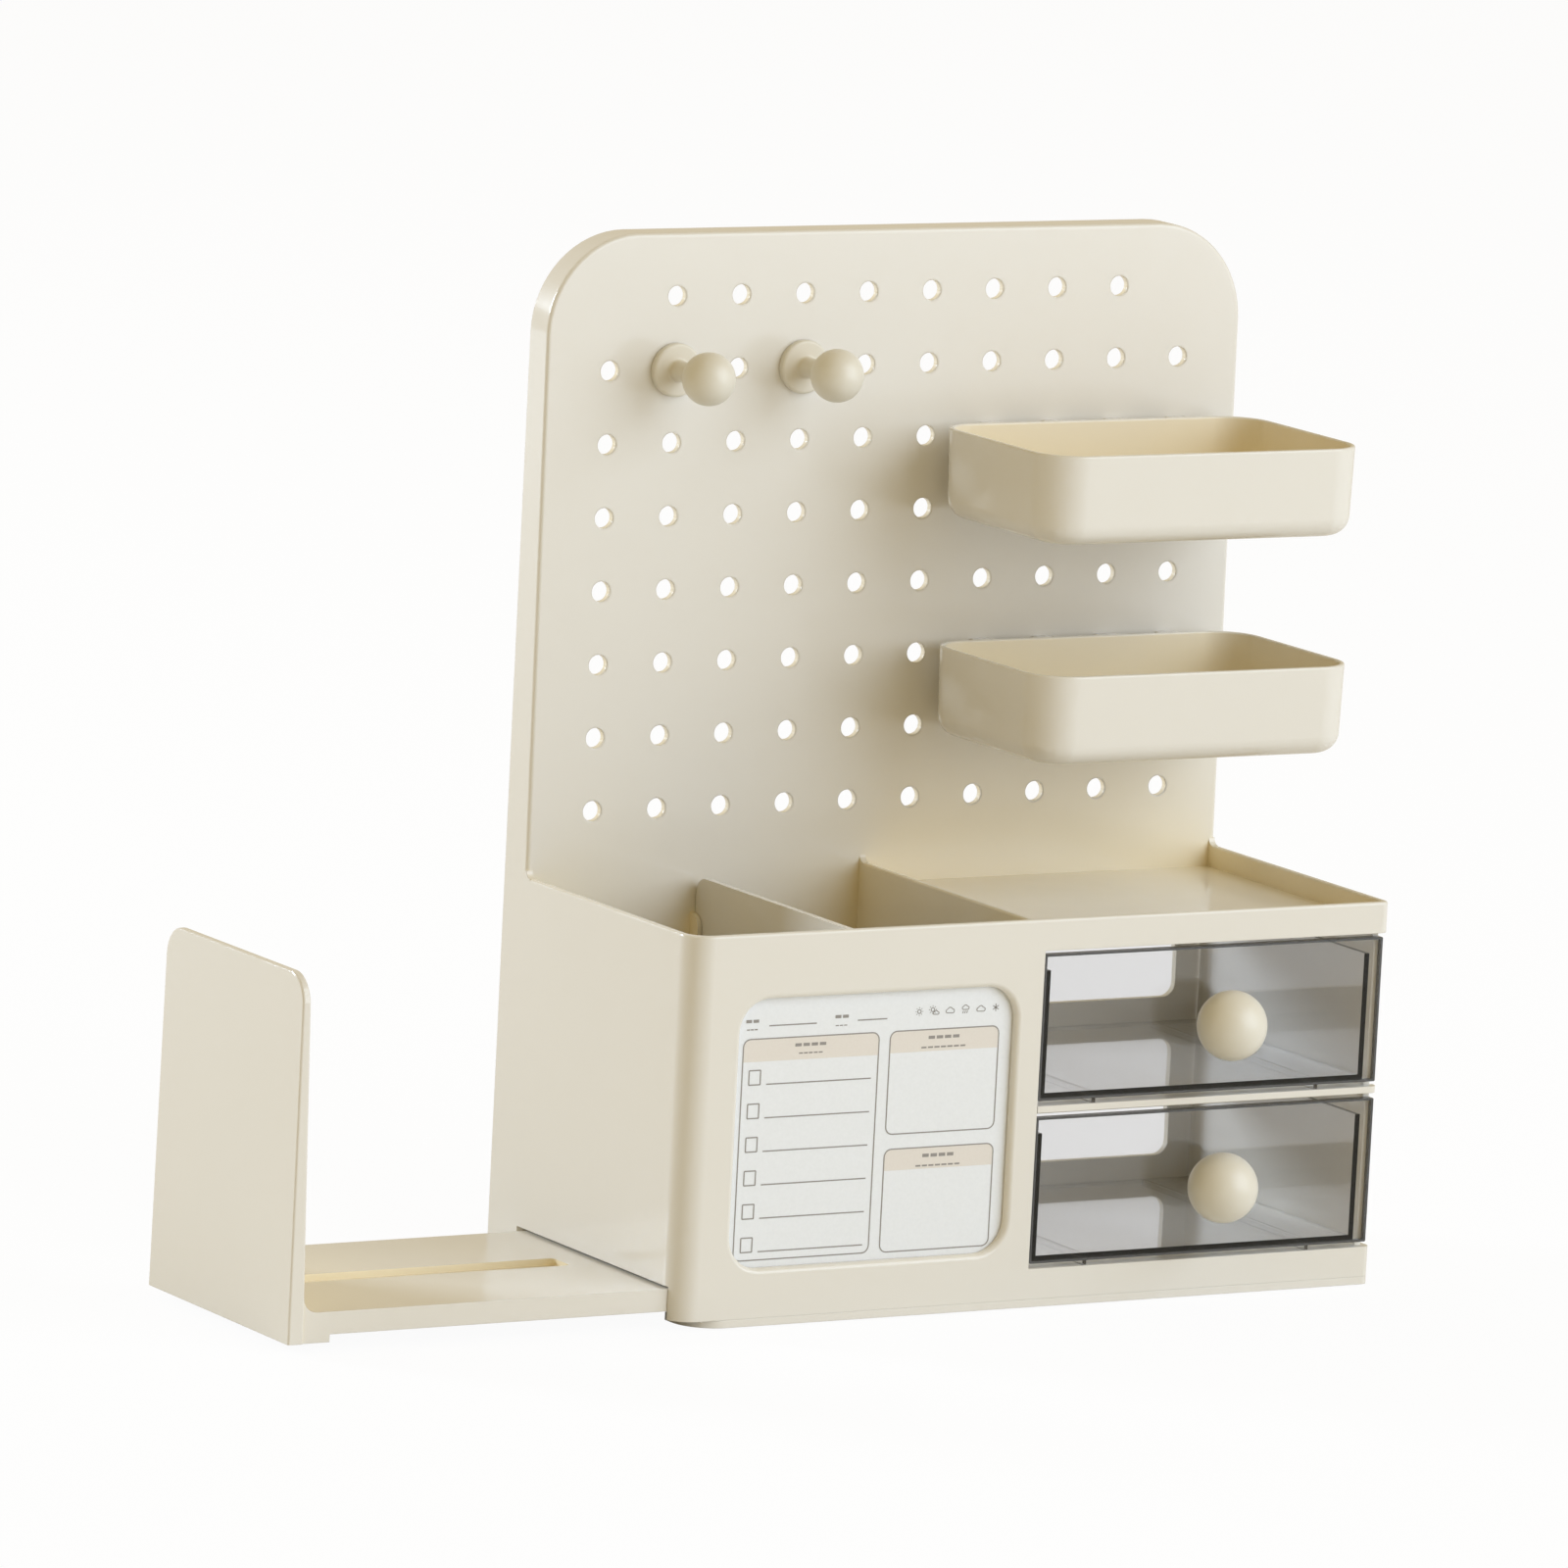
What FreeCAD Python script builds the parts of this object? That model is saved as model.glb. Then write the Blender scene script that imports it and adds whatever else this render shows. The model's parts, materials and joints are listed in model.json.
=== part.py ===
"""Pegboard desk organizer with two drawers, hanging trays, hooks and a pull-out book end.

Millimetres.  Origin: centre of the body's footprint on the desk.  +X to the right, +Y to the
back, +Z up.  Every piece is one STEP file in parts/, made at its place in the whole.
"""
import FreeCAD, Part
import math
import os

V = FreeCAD.Vector

# ---- body as a whole -------------------------------------------------------------------------
body_width = 274.0
body_depth = 129.4
rim_height = 133.6            # desk to the top edge of the open box
panel_height = 351.8          # desk to the top edge of the pegboard
foot_proud = 0.6              # how far the pads lift the bottom cover off the desk
cover_thickness = 2.7
wall = 2.4
front_left_radius = 9.0
corner_radius = 3.2
rim_rounding = 0.9
edge_rounding = 1.4           # front outline of the pegboard
web_radius = 2.5              # hollow round where a wall top runs into the pegboard

# ---- pegboard --------------------------------------------------------------------------------
panel_lean_deg = 0.93
panel_face_top_y = 52.8       # face of the pegboard at the height of the top row of holes
panel_sheet = 2.5
panel_corner_radius = 34.0
panel_flange = 2.4
top_row_below_edge = 21.4
row_above_rim = 15.0          # least height of a row of holes over the rim
hole_pitch = 25.0
hole_columns = 10
hole_radius = 3.45
hole_chamfer = 0.45

# ---- open box on the left --------------------------------------------------------------------
cell_floor_top = 17.6
cell_floor_thickness = 2.2
partition_left = -6.5
partition_thickness = 2.4
divider_left = -70.8
divider_thickness = 2.5
divider_below_rim = 2.2
divider_corner_radius = 6.0
slide_in_gap = 0.3            # lift-out pieces to the floor and walls they stand on
channel_gap = 0.2
channel_rib = 1.6
channel_depth = 5.5
channel_below_rim = 14.6
channel_corner_radius = 5.0

# ---- memo window -----------------------------------------------------------------------------
window_left = -116.8
window_width = 106.9
window_bottom = 19.9
window_below_rim = 22.2
window_radius = 11.5
window_edge_rounding = 1.8
window_rib_width = 3.0
card_depth = 3.2              # front plane to the face of the card
card_thickness = 0.6
card_side_margin = 2.6
card_top_margin = 5.0
card_gap = 0.2
backing_thickness = 1.6
backing_above_card = 3.0
keeper_rib = 2.0
keeper_width = 2.0
keeper_left_width = 5.0       # past the round corner of the box
keeper_height = 60.0

# ---- top tray over the drawers ---------------------------------------------------------------
tray_recess = 7.4
tray_floor_thickness = 2.4
fascia_height = 10.8
base_fascia_top = 13.7
base_strip_wall = 2.0

# ---- drawer cabinet --------------------------------------------------------------------------
memo_front_right = -0.2       # where the fronts of the drawers begin
cabinet_wall = 2.4
cabinet_recess = 2.1          # cabinet wall behind the side of the body
cabinet_floor_thickness = 2.2
cabinet_back_gap = 0.3
shelf_below_middle = 0.3
shelf_thickness = 2.3
shelf_gap = 0.1
shelf_end_recess = 1.0
shelf_end_radius = 2.8
shelf_rail_width = 1.2
shelf_rail_height = 2.0
stop_rib_width = 2.0
stop_rib_drop = 1.0           # underside of a bay's roof to the underside of its stop rib
back_window_margin_left = 6.1
back_window_margin = 10.2     # cabinet wall to the edge of the window behind a drawer
back_window_rise = 11.4
back_window_drop = 5.2
back_window_radius = 5.0

# ---- drawers ---------------------------------------------------------------------------------
front_gap = 0.5               # side gap round a drawer front
front_top_gap = 1.8
front_thickness = 3.0
front_recess = 0.5            # drawer front behind the body's front plane
front_overlap = 2.3           # right edge of a front past the cabinet wall's inner face
front_foot_gap = 1.7
drawer_wall = 2.0
drawer_side_gap = 1.7
drawer_back_gap = 2.1
drawer_side_drop = 7.6
drawer_corner_radius = 3.0
foot_height = 2.0
foot_width = 1.5
foot_from_front_end = 22.9
tab_top_gap = 0.3
tab_length = 8.0
drawer_out_length = 90.0
stop_slack = 0.3

# ---- ball knobs ------------------------------------------------------------------------------
knob_radius = 12.0
knob_standoff = 13.0
knob_neck_radius = 4.5
knob_screw_radius = 1.6
knob_screw_gap = 0.1
knob_screw_depth = 10.0
knob_screw_head_radius = 3.5
knob_screw_head = 1.8
knob_screw_head_rounding = 0.6

# ---- book end --------------------------------------------------------------------------------
plate_out = 142.0             # body's left side to the outer face of the plate
plate_foot_z = 3.6
plate_below_rim = 7.0
plate_thickness_low = 5.6
plate_thickness_top = 2.8
plate_front_y = -59.1
plate_rear_y = 40.8
plate_rear_taper = 2.8
plate_corner_radius = 10.0
plate_edge_rounding = 0.8
base_side_inset = 0.7
base_top_z = 13.8
base_bottom_z = 6.2
base_skin = 2.4
base_fillet = 5.0
foot_start = 1.5
foot_depth = 14.2
groove_centre_y = -8.9
groove_width = 11.9
groove_depth = 2.5
groove_end_from_wall = 12.2
groove_skin = 2.0
slot_gap_front = 0.2
slot_gap_rear = 4.6
slot_gap_top = 0.8
slide_out_length = 131.0
tongue_inner_length = 65.0           # how far the tongue runs into the body when pulled out
tongue_width = 74.0
tongue_centre_y = -9.0
tongue_top_z = 10.9
tongue_skin = 2.4
tongue_flange = 3.0
tongue_flange_thickness = 2.0
run_gap = 0.3                 # free play of the sliding pieces
guide_wall = 2.4
guide_length = 182.0
guide_start = 1.0             # from the edge of the cover's relief
stop_block_length = 8.0
stop_block_width = 40.0
stop_rib_thickness = 2.4
stop_rib_rise = 3.8
stop_screw_spacing = 24.0
stop_block_lift = 0.6         # underside of the stop block over the cover
stop_gap = 0.1                # stop block to the stop rib when the book end is out

# ---- bottom cover, screws and pads -----------------------------------------------------------
cover_left_inset = 6.7
cover_corner_radius = 13.6
cover_relief_depth = 16.0     # from the body's left side, cut away under the base of the book end
cover_relief_front = 18.0     # from the body's front
lip_thickness = 1.2
lip_height = 2.0
screw_radius = 1.45
screw_hole_gap = 0.05
screw_clearance = 0.25
screw_length = 12.0
screw_head_radius = 3.0
screw_head_height = 1.3
screw_head_sunk = 0.3
screw_recess_length = 2.0
screw_recess_width = 0.5
screw_recess_depth = 0.65
boss_radius = 3.6
boss_height = 15.0
rear_screw_x = 124.0
rear_screw_y = 54.6
front_screw_left_x = 74.0
front_screw_right_x = 122.0
front_screw_y = -52.0
pad_radius = 7.0
pad_thickness = 1.5
pad_chamfer = 0.3
pad_x = 112.0
pad_y = 46.0

# ---- hooks and hanging trays -----------------------------------------------------------------
stud_gap = 0.1                # stud to peg hole, all round
stud_past_panel = 3.5
stud_slit = 1.0
stud_chamfer = 0.8
hook_columns = (1, 3)
hook_row = 1
hook_ball_radius = 9.1
hook_length = 23.4
hook_neck_radius = 3.5
hook_flange_radius = 9.2
hook_flange_thickness = 2.5
hook_flange_rounding = 1.0
hang_end_margin = 25.9        # end studs to the ends of the tray
hang_depth = 80.0
hang_height = 31.0
hang_rows = (2, 5)
hang_above_row = 4.9
hang_back_gap = 6.0
hang_corner_radius = 15.0
hang_bottom_radius = 7.0
hang_taper_width = 0.8
hang_wall = 1.8
hang_rim_rounding = 0.7
hang_stud_columns = (6, 7, 8, 9)
hang_collar_radius = 5.5
hang_rest_columns = (6.5, 8.5)
hang_rest_drop = 20.0
hang_rest_radius = 3.5

# ---- sizes that follow -----------------------------------------------------------------------
left = -body_width / 2.0
right = body_width / 2.0
front = -body_depth / 2.0
rear = body_depth / 2.0
shell_bottom = foot_proud + cover_thickness
inner_left = left + wall
top_row_z = panel_height - top_row_below_edge
hole_rows = int((top_row_z - rim_height - row_above_rim) / hole_pitch) + 1
inner_front = front + wall
partition_right = partition_left + partition_thickness
cell_floor_bottom = cell_floor_top - cell_floor_thickness
tray_floor_top = rim_height - tray_recess
tray_floor_bottom = tray_floor_top - tray_floor_thickness
fascia_bottom = rim_height - fascia_height
cabinet_right = right - cabinet_recess
bay_right = cabinet_right - cabinet_wall
bay_left = memo_front_right + front_gap / 2.0
cabinet_floor_bottom = base_fascia_top - cabinet_floor_thickness
shelf_bottom = ((base_fascia_top + tray_floor_bottom - shelf_thickness) / 2.0
                - shelf_below_middle)
shelf_top = shelf_bottom + shelf_thickness
bay_height = shelf_bottom - base_fascia_top
stop_rib_height = bay_height - stop_rib_drop
back_window_height = bay_height - back_window_rise - back_window_drop
front_height = bay_height - front_foot_gap - front_top_gap
drawer_side_height = bay_height - foot_height - drawer_side_drop
tab_height = bay_height - tab_top_gap
window_height = rim_height - window_below_rim - window_bottom
plate_top_z = rim_height - plate_below_rim
front_face_y = front + front_recess
front_back_y = front_face_y + front_thickness
cabinet_front_y = front_back_y + slide_in_gap
drawer_ledges = {"upper": shelf_top, "lower": base_fascia_top}
card_face_y = front + card_depth
card_back_y = card_face_y + card_thickness
backing_front_y = card_back_y + card_gap
backing_back_y = backing_front_y + backing_thickness
card_bottom = cell_floor_top + slide_in_gap
card_top = window_bottom + window_height + card_top_margin
backing_top = card_top + backing_above_card
channel_top = rim_height - channel_below_rim
divider_top = rim_height - divider_below_rim
base_front_y = plate_front_y + base_side_inset
base_rear_y = plate_rear_y - base_side_inset
plate_outer_x = left - plate_out
slot_top_z = base_top_z + slot_gap_top
tongue_end_x = left + tongue_inner_length
high_part_end_x = bay_left - cabinet_wall - run_gap - slide_out_length
cover_left = left + cover_left_inset
relief_end_x = left + cover_relief_depth
far = 1000.0
overlap = 1.0                 # how far joined shapes run into each other before they are fused
tolerance = 0.001             # two places nearer than this count as the same


# ---- helpers ---------------------------------------------------------------------------------
def block(x0, x1, y0, y1, z0, z1):
    """Box between two corners."""
    return Part.makeBox(x1 - x0, y1 - y0, z1 - z0, V(x0, y0, z0))


def rod(radius, start, length, direction):
    """Cylinder from a point along a direction."""
    return Part.makeCylinder(radius, length, start, direction)


def rounded_face(corners, place):
    """Flat face through (u, v, radius) corners, put in space by place(u, v)."""
    starts = []
    middles = []
    ends = []
    for index, (u, v, radius) in enumerate(corners):
        corner = V(u, v, 0)
        before = V(*corners[index - 1][:2], 0) - corner
        after = V(*corners[(index + 1) % len(corners)][:2], 0) - corner
        half = before.getAngle(after) / 2.0
        before.normalize()
        after.normalize()
        inward = before + after
        inward.normalize()
        reach = radius / math.tan(half)
        starts.append(corner + before * reach)
        ends.append(corner + after * reach)
        middles.append(corner + inward * (radius / math.sin(half) - radius))
    edges = []
    for index, (u, v, radius) in enumerate(corners):
        line_start = place(*ends[index - 1][:2])
        line_end = place(*starts[index][:2])
        if line_start.distanceToPoint(line_end) > tolerance:
            edges.append(Part.LineSegment(line_start, line_end).toShape())
        if radius > 0:
            middle = place(*middles[index][:2])
            edges.append(Part.Arc(line_end, middle, place(*ends[index][:2])).toShape())
    return Part.Face(Part.Wire(edges))


def upright_prism(corners, z0, z1):
    """Outline in plan, raised from z0 to z1."""
    face = rounded_face(corners, lambda u, v: V(u, v, z0))
    return face.extrude(V(0, 0, z1 - z0))


def facing_prism(corners, y0, y1):
    """Outline seen from the front, carried from y0 back to y1."""
    face = rounded_face(corners, lambda u, v: V(u, y0, v))
    return face.extrude(V(0, y1 - y0, 0))


def side_prism(corners, x0, x1):
    """Outline of (y, z) corners seen from the side, carried from x0 to x1."""
    face = rounded_face(corners, lambda u, v: V(x0, u, v))
    return face.extrude(V(x1 - x0, 0, 0))


def rectangle(u0, u1, v0, v1, radius=0.0):
    """Corners of a rectangle with one radius."""
    return [(u0, v0, radius), (u1, v0, radius), (u1, v1, radius), (u0, v1, radius)]


def joined(first, *others):
    """One clean solid from shapes that run into each other."""
    return first.multiFuse(list(others)).removeSplitter()


def panel_y(z):
    """Place of the pegboard's leaning face at a height."""
    return panel_face_top_y + (z - top_row_z) * math.tan(math.radians(panel_lean_deg))


def ahead_of_panel(offset=0.0):
    """All the space in front of the pegboard's face, moved back by an offset."""
    low = -far
    high = far
    corners = [(-far, low, 0), (panel_y(low) + offset, low, 0),
               (panel_y(high) + offset, high, 0), (-far, high, 0)]
    return side_prism(corners, -far, far)


def edges_at_height(shape, z):
    """Edges that lie level at one height."""
    return [edge for edge in shape.Edges
            if abs(edge.BoundBox.ZMin - z) < tolerance and abs(edge.BoundBox.ZMax - z) < tolerance]


def edges_at_depth(shape, y):
    """Edges that lie in one upright plane across the body."""
    return [edge for edge in shape.Edges
            if abs(edge.BoundBox.YMin - y) < tolerance and abs(edge.BoundBox.YMax - y) < tolerance]


def hole_x(column):
    """Column of peg holes, counted from the left."""
    return (column - (hole_columns - 1) / 2.0) * hole_pitch


def hole_z(row):
    """Row of peg holes, counted from the top."""
    return top_row_z - row * hole_pitch


def save(name, shape):
    """Write one piece."""
    shape.exportStep("parts/" + name + ".step")


# ---- main housing ----------------------------------------------------------------------------
def body_outline():
    """Plan of the body with its large front left corner."""
    return [(left, front, front_left_radius), (right, front, corner_radius),
            (right, rear, 0), (left, rear, 0)]


def open_box():
    """Lower half of the housing, with its cells and top tray sunk in and the rim rounded."""
    shell = upright_prism(body_outline(), shell_bottom, rim_height)
    cells = upright_prism([(inner_left, inner_front, front_left_radius - wall),
                           (partition_left, inner_front, 0), (partition_left, rear, 0),
                           (inner_left, rear, 0)], cell_floor_top, rim_height + overlap)
    tray = upright_prism([(partition_right, inner_front, 0),
                          (right - wall, inner_front, corner_radius - wall),
                          (right - wall, rear, 0), (partition_right, rear, 0)],
                         tray_floor_top, rim_height + overlap)
    shell = shell.cut(cells.fuse(tray).common(ahead_of_panel()))
    return shell.makeFillet(rim_rounding, edges_at_height(shell, rim_height))


def panel_outline(inset, bottom):
    """Pegboard outline, drawn in by an inset."""
    radius = panel_corner_radius - inset
    return [(left + inset, bottom, 0), (right - inset, bottom, 0),
            (right - inset, panel_height - inset, radius),
            (left + inset, panel_height - inset, radius)]


def pegboard():
    """Pegboard above the rim, solid to the back, with its front outline rounded."""
    start = rim_height - channel_below_rim
    board = facing_prism(panel_outline(0, start), inner_front, rear)
    board = board.cut(ahead_of_panel())
    outline = [edge for edge in board.Edges
               if abs(edge.BoundBox.YMax - panel_y(edge.BoundBox.ZMax)) < tolerance
               and abs(edge.BoundBox.YMin - panel_y(edge.BoundBox.ZMin)) < tolerance
               and edge.BoundBox.ZMax > start + overlap]
    return board.makeFillet(edge_rounding, outline)


def rim_webs():
    """Hollow rounds where the three wall tops run into the pegboard."""
    meet_y = panel_y(rim_height)
    webs = []
    for x0 in (left, partition_left, right - wall):
        web = block(x0, x0 + wall, meet_y - web_radius, meet_y + overlap,
                    rim_height - overlap, rim_height + web_radius)
        hollow = rod(web_radius, V(x0 - overlap, meet_y - web_radius, rim_height + web_radius),
                     wall + 2 * overlap, V(1, 0, 0))
        webs.append(web.cut(hollow))
    return webs


def peg_holes():
    """Every peg hole with its small chamfers, as one cutting shape."""
    cutters = []
    for row in range(hole_rows):
        for column in range(hole_columns):
            if row == 0 and column in (0, hole_columns - 1):
                continue
            x = hole_x(column)
            z = hole_z(row)
            face = panel_y(z)
            cutters.append(rod(hole_radius, V(x, face - overlap, z),
                               panel_sheet + 2 * overlap, V(0, 1, 0)))
            cutters.append(Part.makeCone(hole_radius + 2 * hole_chamfer, hole_radius,
                                         2 * hole_chamfer, V(x, face - hole_chamfer, z),
                                         V(0, 1, 0)))
    return Part.makeCompound(cutters)


def back_windows():
    """Rounded windows in the back wall behind the drawers."""
    cutters = []
    for ledge in drawer_ledges.values():
        corners = rectangle(bay_left + back_window_margin_left,
                            bay_right - back_window_margin,
                            ledge + back_window_rise,
                            ledge + back_window_rise + back_window_height, back_window_radius)
        cutters.append(facing_prism(corners, panel_y(shell_bottom) - overlap, rear + overlap))
    return cutters


def divider_channels(root_y, reach, lean):
    """Two ribs that hold one end of the divider; lean is the wall's slope, back per height."""
    ribs = []
    tip_low = root_y + reach
    height = channel_top - cell_floor_top
    root = root_y + math.copysign(overlap, -reach)
    for x0 in (divider_left - channel_gap - channel_rib,
               divider_left + divider_thickness + channel_gap):
        corners = [(root, cell_floor_top - overlap, 0), (tip_low, cell_floor_top - overlap, 0),
                   (tip_low + lean * height, channel_top, channel_corner_radius),
                   (root + lean * height, channel_top, 0)]
        ribs.append(side_prism(corners, x0, x0 + channel_rib))
    return ribs


def rear_screw_xs():
    """Places of the three rear screws along the body."""
    return (-rear_screw_x, 0.0, rear_screw_x)


def main_housing():
    """One moulding: pegboard, box walls, partition, cell floor and top tray."""
    slope = math.tan(math.radians(panel_lean_deg))
    shape = joined(open_box(), pegboard(), *rim_webs())
    recess = facing_prism(panel_outline(panel_flange, shell_bottom + panel_flange),
                          inner_front, rear + overlap)
    shape = shape.cut(recess.cut(ahead_of_panel(panel_sheet)))
    under_cells = upright_prism([(inner_left, inner_front, front_left_radius - wall),
                                 (partition_right, inner_front, 0), (partition_right, rear, 0),
                                 (inner_left, rear, 0)],
                                shell_bottom - overlap, cell_floor_bottom)
    bay = block(partition_right, right - base_strip_wall, inner_front, rear,
                shell_bottom - overlap, tray_floor_bottom)
    side = block(right - base_strip_wall - overlap, right + overlap, inner_front, rear,
                 base_fascia_top, fascia_bottom)
    hollows = under_cells.multiFuse([bay, side]).common(ahead_of_panel())
    opening = block(memo_front_right, right + overlap, front - overlap, inner_front + overlap,
                    base_fascia_top, fascia_bottom)
    slot = block(left - overlap, left + front_left_radius, base_front_y - slot_gap_front,
                 base_rear_y + slot_gap_rear, shell_bottom - overlap, slot_top_z)
    shape = shape.cut(hollows.multiFuse([opening, slot] + back_windows()))
    ring = facing_prism(rectangle(window_left - window_rib_width,
                                  window_left + window_width + window_rib_width,
                                  cell_floor_top,
                                  window_bottom + window_height + window_rib_width,
                                  0.0), inner_front - overlap, card_face_y - card_gap)
    stop_bottom = shelf_top + stop_rib_height
    stop = block(bay_left, bay_right, cabinet_front_y, cabinet_front_y + stop_rib_width,
                 stop_bottom, tray_floor_bottom + overlap)
    keepers = [block(x0, x1, backing_back_y + card_gap, backing_back_y + card_gap + keeper_rib,
                     cell_floor_top - overlap, cell_floor_top + keeper_height)
               for x0, x1 in ((inner_left - overlap, inner_left + keeper_left_width),
                              (partition_left - keeper_width, partition_left + overlap))]
    ribs = divider_channels(panel_y(cell_floor_top), -channel_depth, slope)
    bosses = [rod(boss_radius, V(x, rear_screw_y, shell_bottom), boss_height, V(0, 0, 1))
              for x in rear_screw_xs()]
    shape = joined(shape, ring, stop, *keepers, *ribs, *bosses)
    window = facing_prism(rectangle(window_left, window_left + window_width, window_bottom,
                                    window_bottom + window_height, window_radius),
                          front - overlap, card_face_y + overlap)
    screw_holes = [rod(screw_radius + screw_hole_gap, V(x, rear_screw_y, shell_bottom - overlap),
                       screw_length + overlap, V(0, 0, 1)) for x in rear_screw_xs()]
    shape = shape.cut(window.multiFuse(screw_holes)).cut(peg_holes())
    window_edge = [edge for edge in edges_at_depth(shape, front)
                   if edge.BoundBox.XMin > window_left - tolerance
                   and edge.BoundBox.XMax < window_left + window_width + tolerance
                   and edge.BoundBox.ZMin > window_bottom - tolerance
                   and edge.BoundBox.ZMax < window_bottom + window_height + tolerance]
    return shape.makeFillet(window_edge_rounding, window_edge)


# ---- bottom ----------------------------------------------------------------------------------
def front_screw_xs():
    """Places of the two front screws along the body."""
    return (front_screw_left_x, front_screw_right_x)


def cover_screw_places():
    """Plan places of the cover's screws."""
    places = [(x, rear_screw_y) for x in rear_screw_xs()]
    return places + [(x, front_screw_y) for x in front_screw_xs()]


def pad_places():
    """Plan places of the pads: four corners and the middle."""
    corners = [(x, y) for x in (-pad_x, pad_x) for y in (-pad_y, pad_y)]
    return corners + [(0.0, 0.0)]


def guide_rail(side):
    """Rail on the cover that laps over one edge of the tongue; side is -1 front, 1 rear."""
    flange_edge = tongue_centre_y + side * tongue_width / 2.0
    web_inner = flange_edge + side * run_gap
    web_outer = web_inner + side * guide_wall
    lip_inner = flange_edge - side * (tongue_flange - run_gap)
    lip_bottom = shell_bottom + run_gap + tongue_flange_thickness + run_gap
    x0 = relief_end_x + guide_start
    x1 = x0 + guide_length
    web = block(x0, x1, min(web_inner, web_outer), max(web_inner, web_outer),
                shell_bottom - overlap, lip_bottom + guide_wall)
    lip = block(x0, x1, min(lip_inner, web_outer), max(lip_inner, web_outer),
                lip_bottom, lip_bottom + guide_wall)
    return web.fuse(lip)


def stop_rib_x():
    """Face of the cover's stop rib that the stop block meets when the book end is out."""
    return tongue_end_x - stop_block_length - stop_gap


def bottom_cover():
    """Flat cover with the guide rails and the stop rib of the book end."""
    plate = upright_prism([(cover_left, front, cover_corner_radius),
                           (right, front, corner_radius), (right, rear, 0),
                           (cover_left, rear, 0)], foot_proud, shell_bottom)
    relief = block(cover_left - overlap, relief_end_x, front + cover_relief_front,
                   base_rear_y + slot_gap_rear, foot_proud - overlap, shell_bottom + overlap)
    lip = block(left + front_left_radius + wall, memo_front_right, inner_front + channel_gap,
                inner_front + channel_gap + lip_thickness, shell_bottom - overlap,
                shell_bottom + lip_height)
    rib = block(stop_rib_x() - stop_rib_thickness, stop_rib_x(),
                tongue_centre_y - stop_block_width / 2.0,
                tongue_centre_y + stop_block_width / 2.0,
                shell_bottom - overlap, shell_bottom + stop_rib_rise)
    shape = joined(plate.cut(relief), lip, rib, guide_rail(-1), guide_rail(1))
    cuts = []
    for x, y in cover_screw_places():
        cuts.append(rod(screw_radius + screw_clearance, V(x, y, 0), far, V(0, 0, 1)))
        cuts.append(rod(screw_head_radius + screw_clearance, V(x, y, 0),
                        foot_proud + screw_head_sunk + screw_head_height, V(0, 0, 1)))
    for x, y in pad_places():
        cuts.append(rod(pad_radius, V(x, y, 0), pad_thickness, V(0, 0, 1)))
    return shape.cut(Part.makeCompound(cuts))


def cover_screws():
    """Self-tapping screws that hold the cover, as separate solids of one piece."""
    screws = []
    for x, y in cover_screw_places():
        head_z = foot_proud + screw_head_sunk
        head = rod(screw_head_radius, V(x, y, head_z), screw_head_height, V(0, 0, 1))
        for angle in (0, 90):
            bar = block(-screw_recess_length / 2.0, screw_recess_length / 2.0,
                        -screw_recess_width / 2.0, screw_recess_width / 2.0,
                        head_z - overlap, head_z + screw_recess_depth)
            bar.rotate(V(0, 0, 0), V(0, 0, 1), angle)
            bar.translate(V(x, y, 0))
            head = head.cut(bar)
        shank_length = screw_length - screw_head_height
        if y < 0:
            shank_length = cabinet_floor_bottom - head_z - screw_head_height
        shank = rod(screw_radius, V(x, y, head_z + screw_head_height), shank_length, V(0, 0, 1))
        screws.append(head.fuse(shank).removeSplitter())
    return Part.makeCompound(screws)


def foot_pads():
    """Soft round pads let into the cover."""
    pads = []
    for x, y in pad_places():
        pad = rod(pad_radius, V(x, y, 0), pad_thickness, V(0, 0, 1))
        pads.append(pad.makeChamfer(pad_chamfer, edges_at_height(pad, 0.0)))
    return Part.makeCompound(pads)


# ---- drawer cabinet --------------------------------------------------------------------------
def drawer_cabinet():
    """Sleeve for the drawers: floor, two walls, shelf rails and screw bosses."""
    back_y = panel_y(shell_bottom) - cabinet_back_gap
    floor = block(bay_left - cabinet_wall, cabinet_right, inner_front + channel_gap, back_y,
                  cabinet_floor_bottom, base_fascia_top)
    left_wall = block(bay_left - cabinet_wall, bay_left, inner_front + channel_gap, back_y,
                      cabinet_floor_bottom, tray_floor_bottom)
    right_wall = block(bay_right, cabinet_right, cabinet_front_y, back_y,
                       shell_bottom, tray_floor_bottom)
    pieces = [left_wall, right_wall]
    for x0, x1 in ((bay_left - overlap, bay_left + shelf_rail_width),
                   (bay_right - shelf_rail_width, bay_right + overlap)):
        pieces.append(block(x0, x1, cabinet_front_y + shelf_rail_width, back_y,
                            shelf_bottom - shelf_rail_height, shelf_bottom))
    for x in front_screw_xs():
        pieces.append(rod(boss_radius, V(x, front_screw_y, shell_bottom),
                          cabinet_floor_bottom - shell_bottom + overlap, V(0, 0, 1)))
    shape = joined(floor, *pieces)
    holes = [rod(screw_radius + screw_hole_gap, V(x, front_screw_y, shell_bottom - overlap),
                 cabinet_floor_bottom - shell_bottom + overlap, V(0, 0, 1))
             for x in front_screw_xs()]
    return shape.cut(Part.makeCompound(holes))


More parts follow.
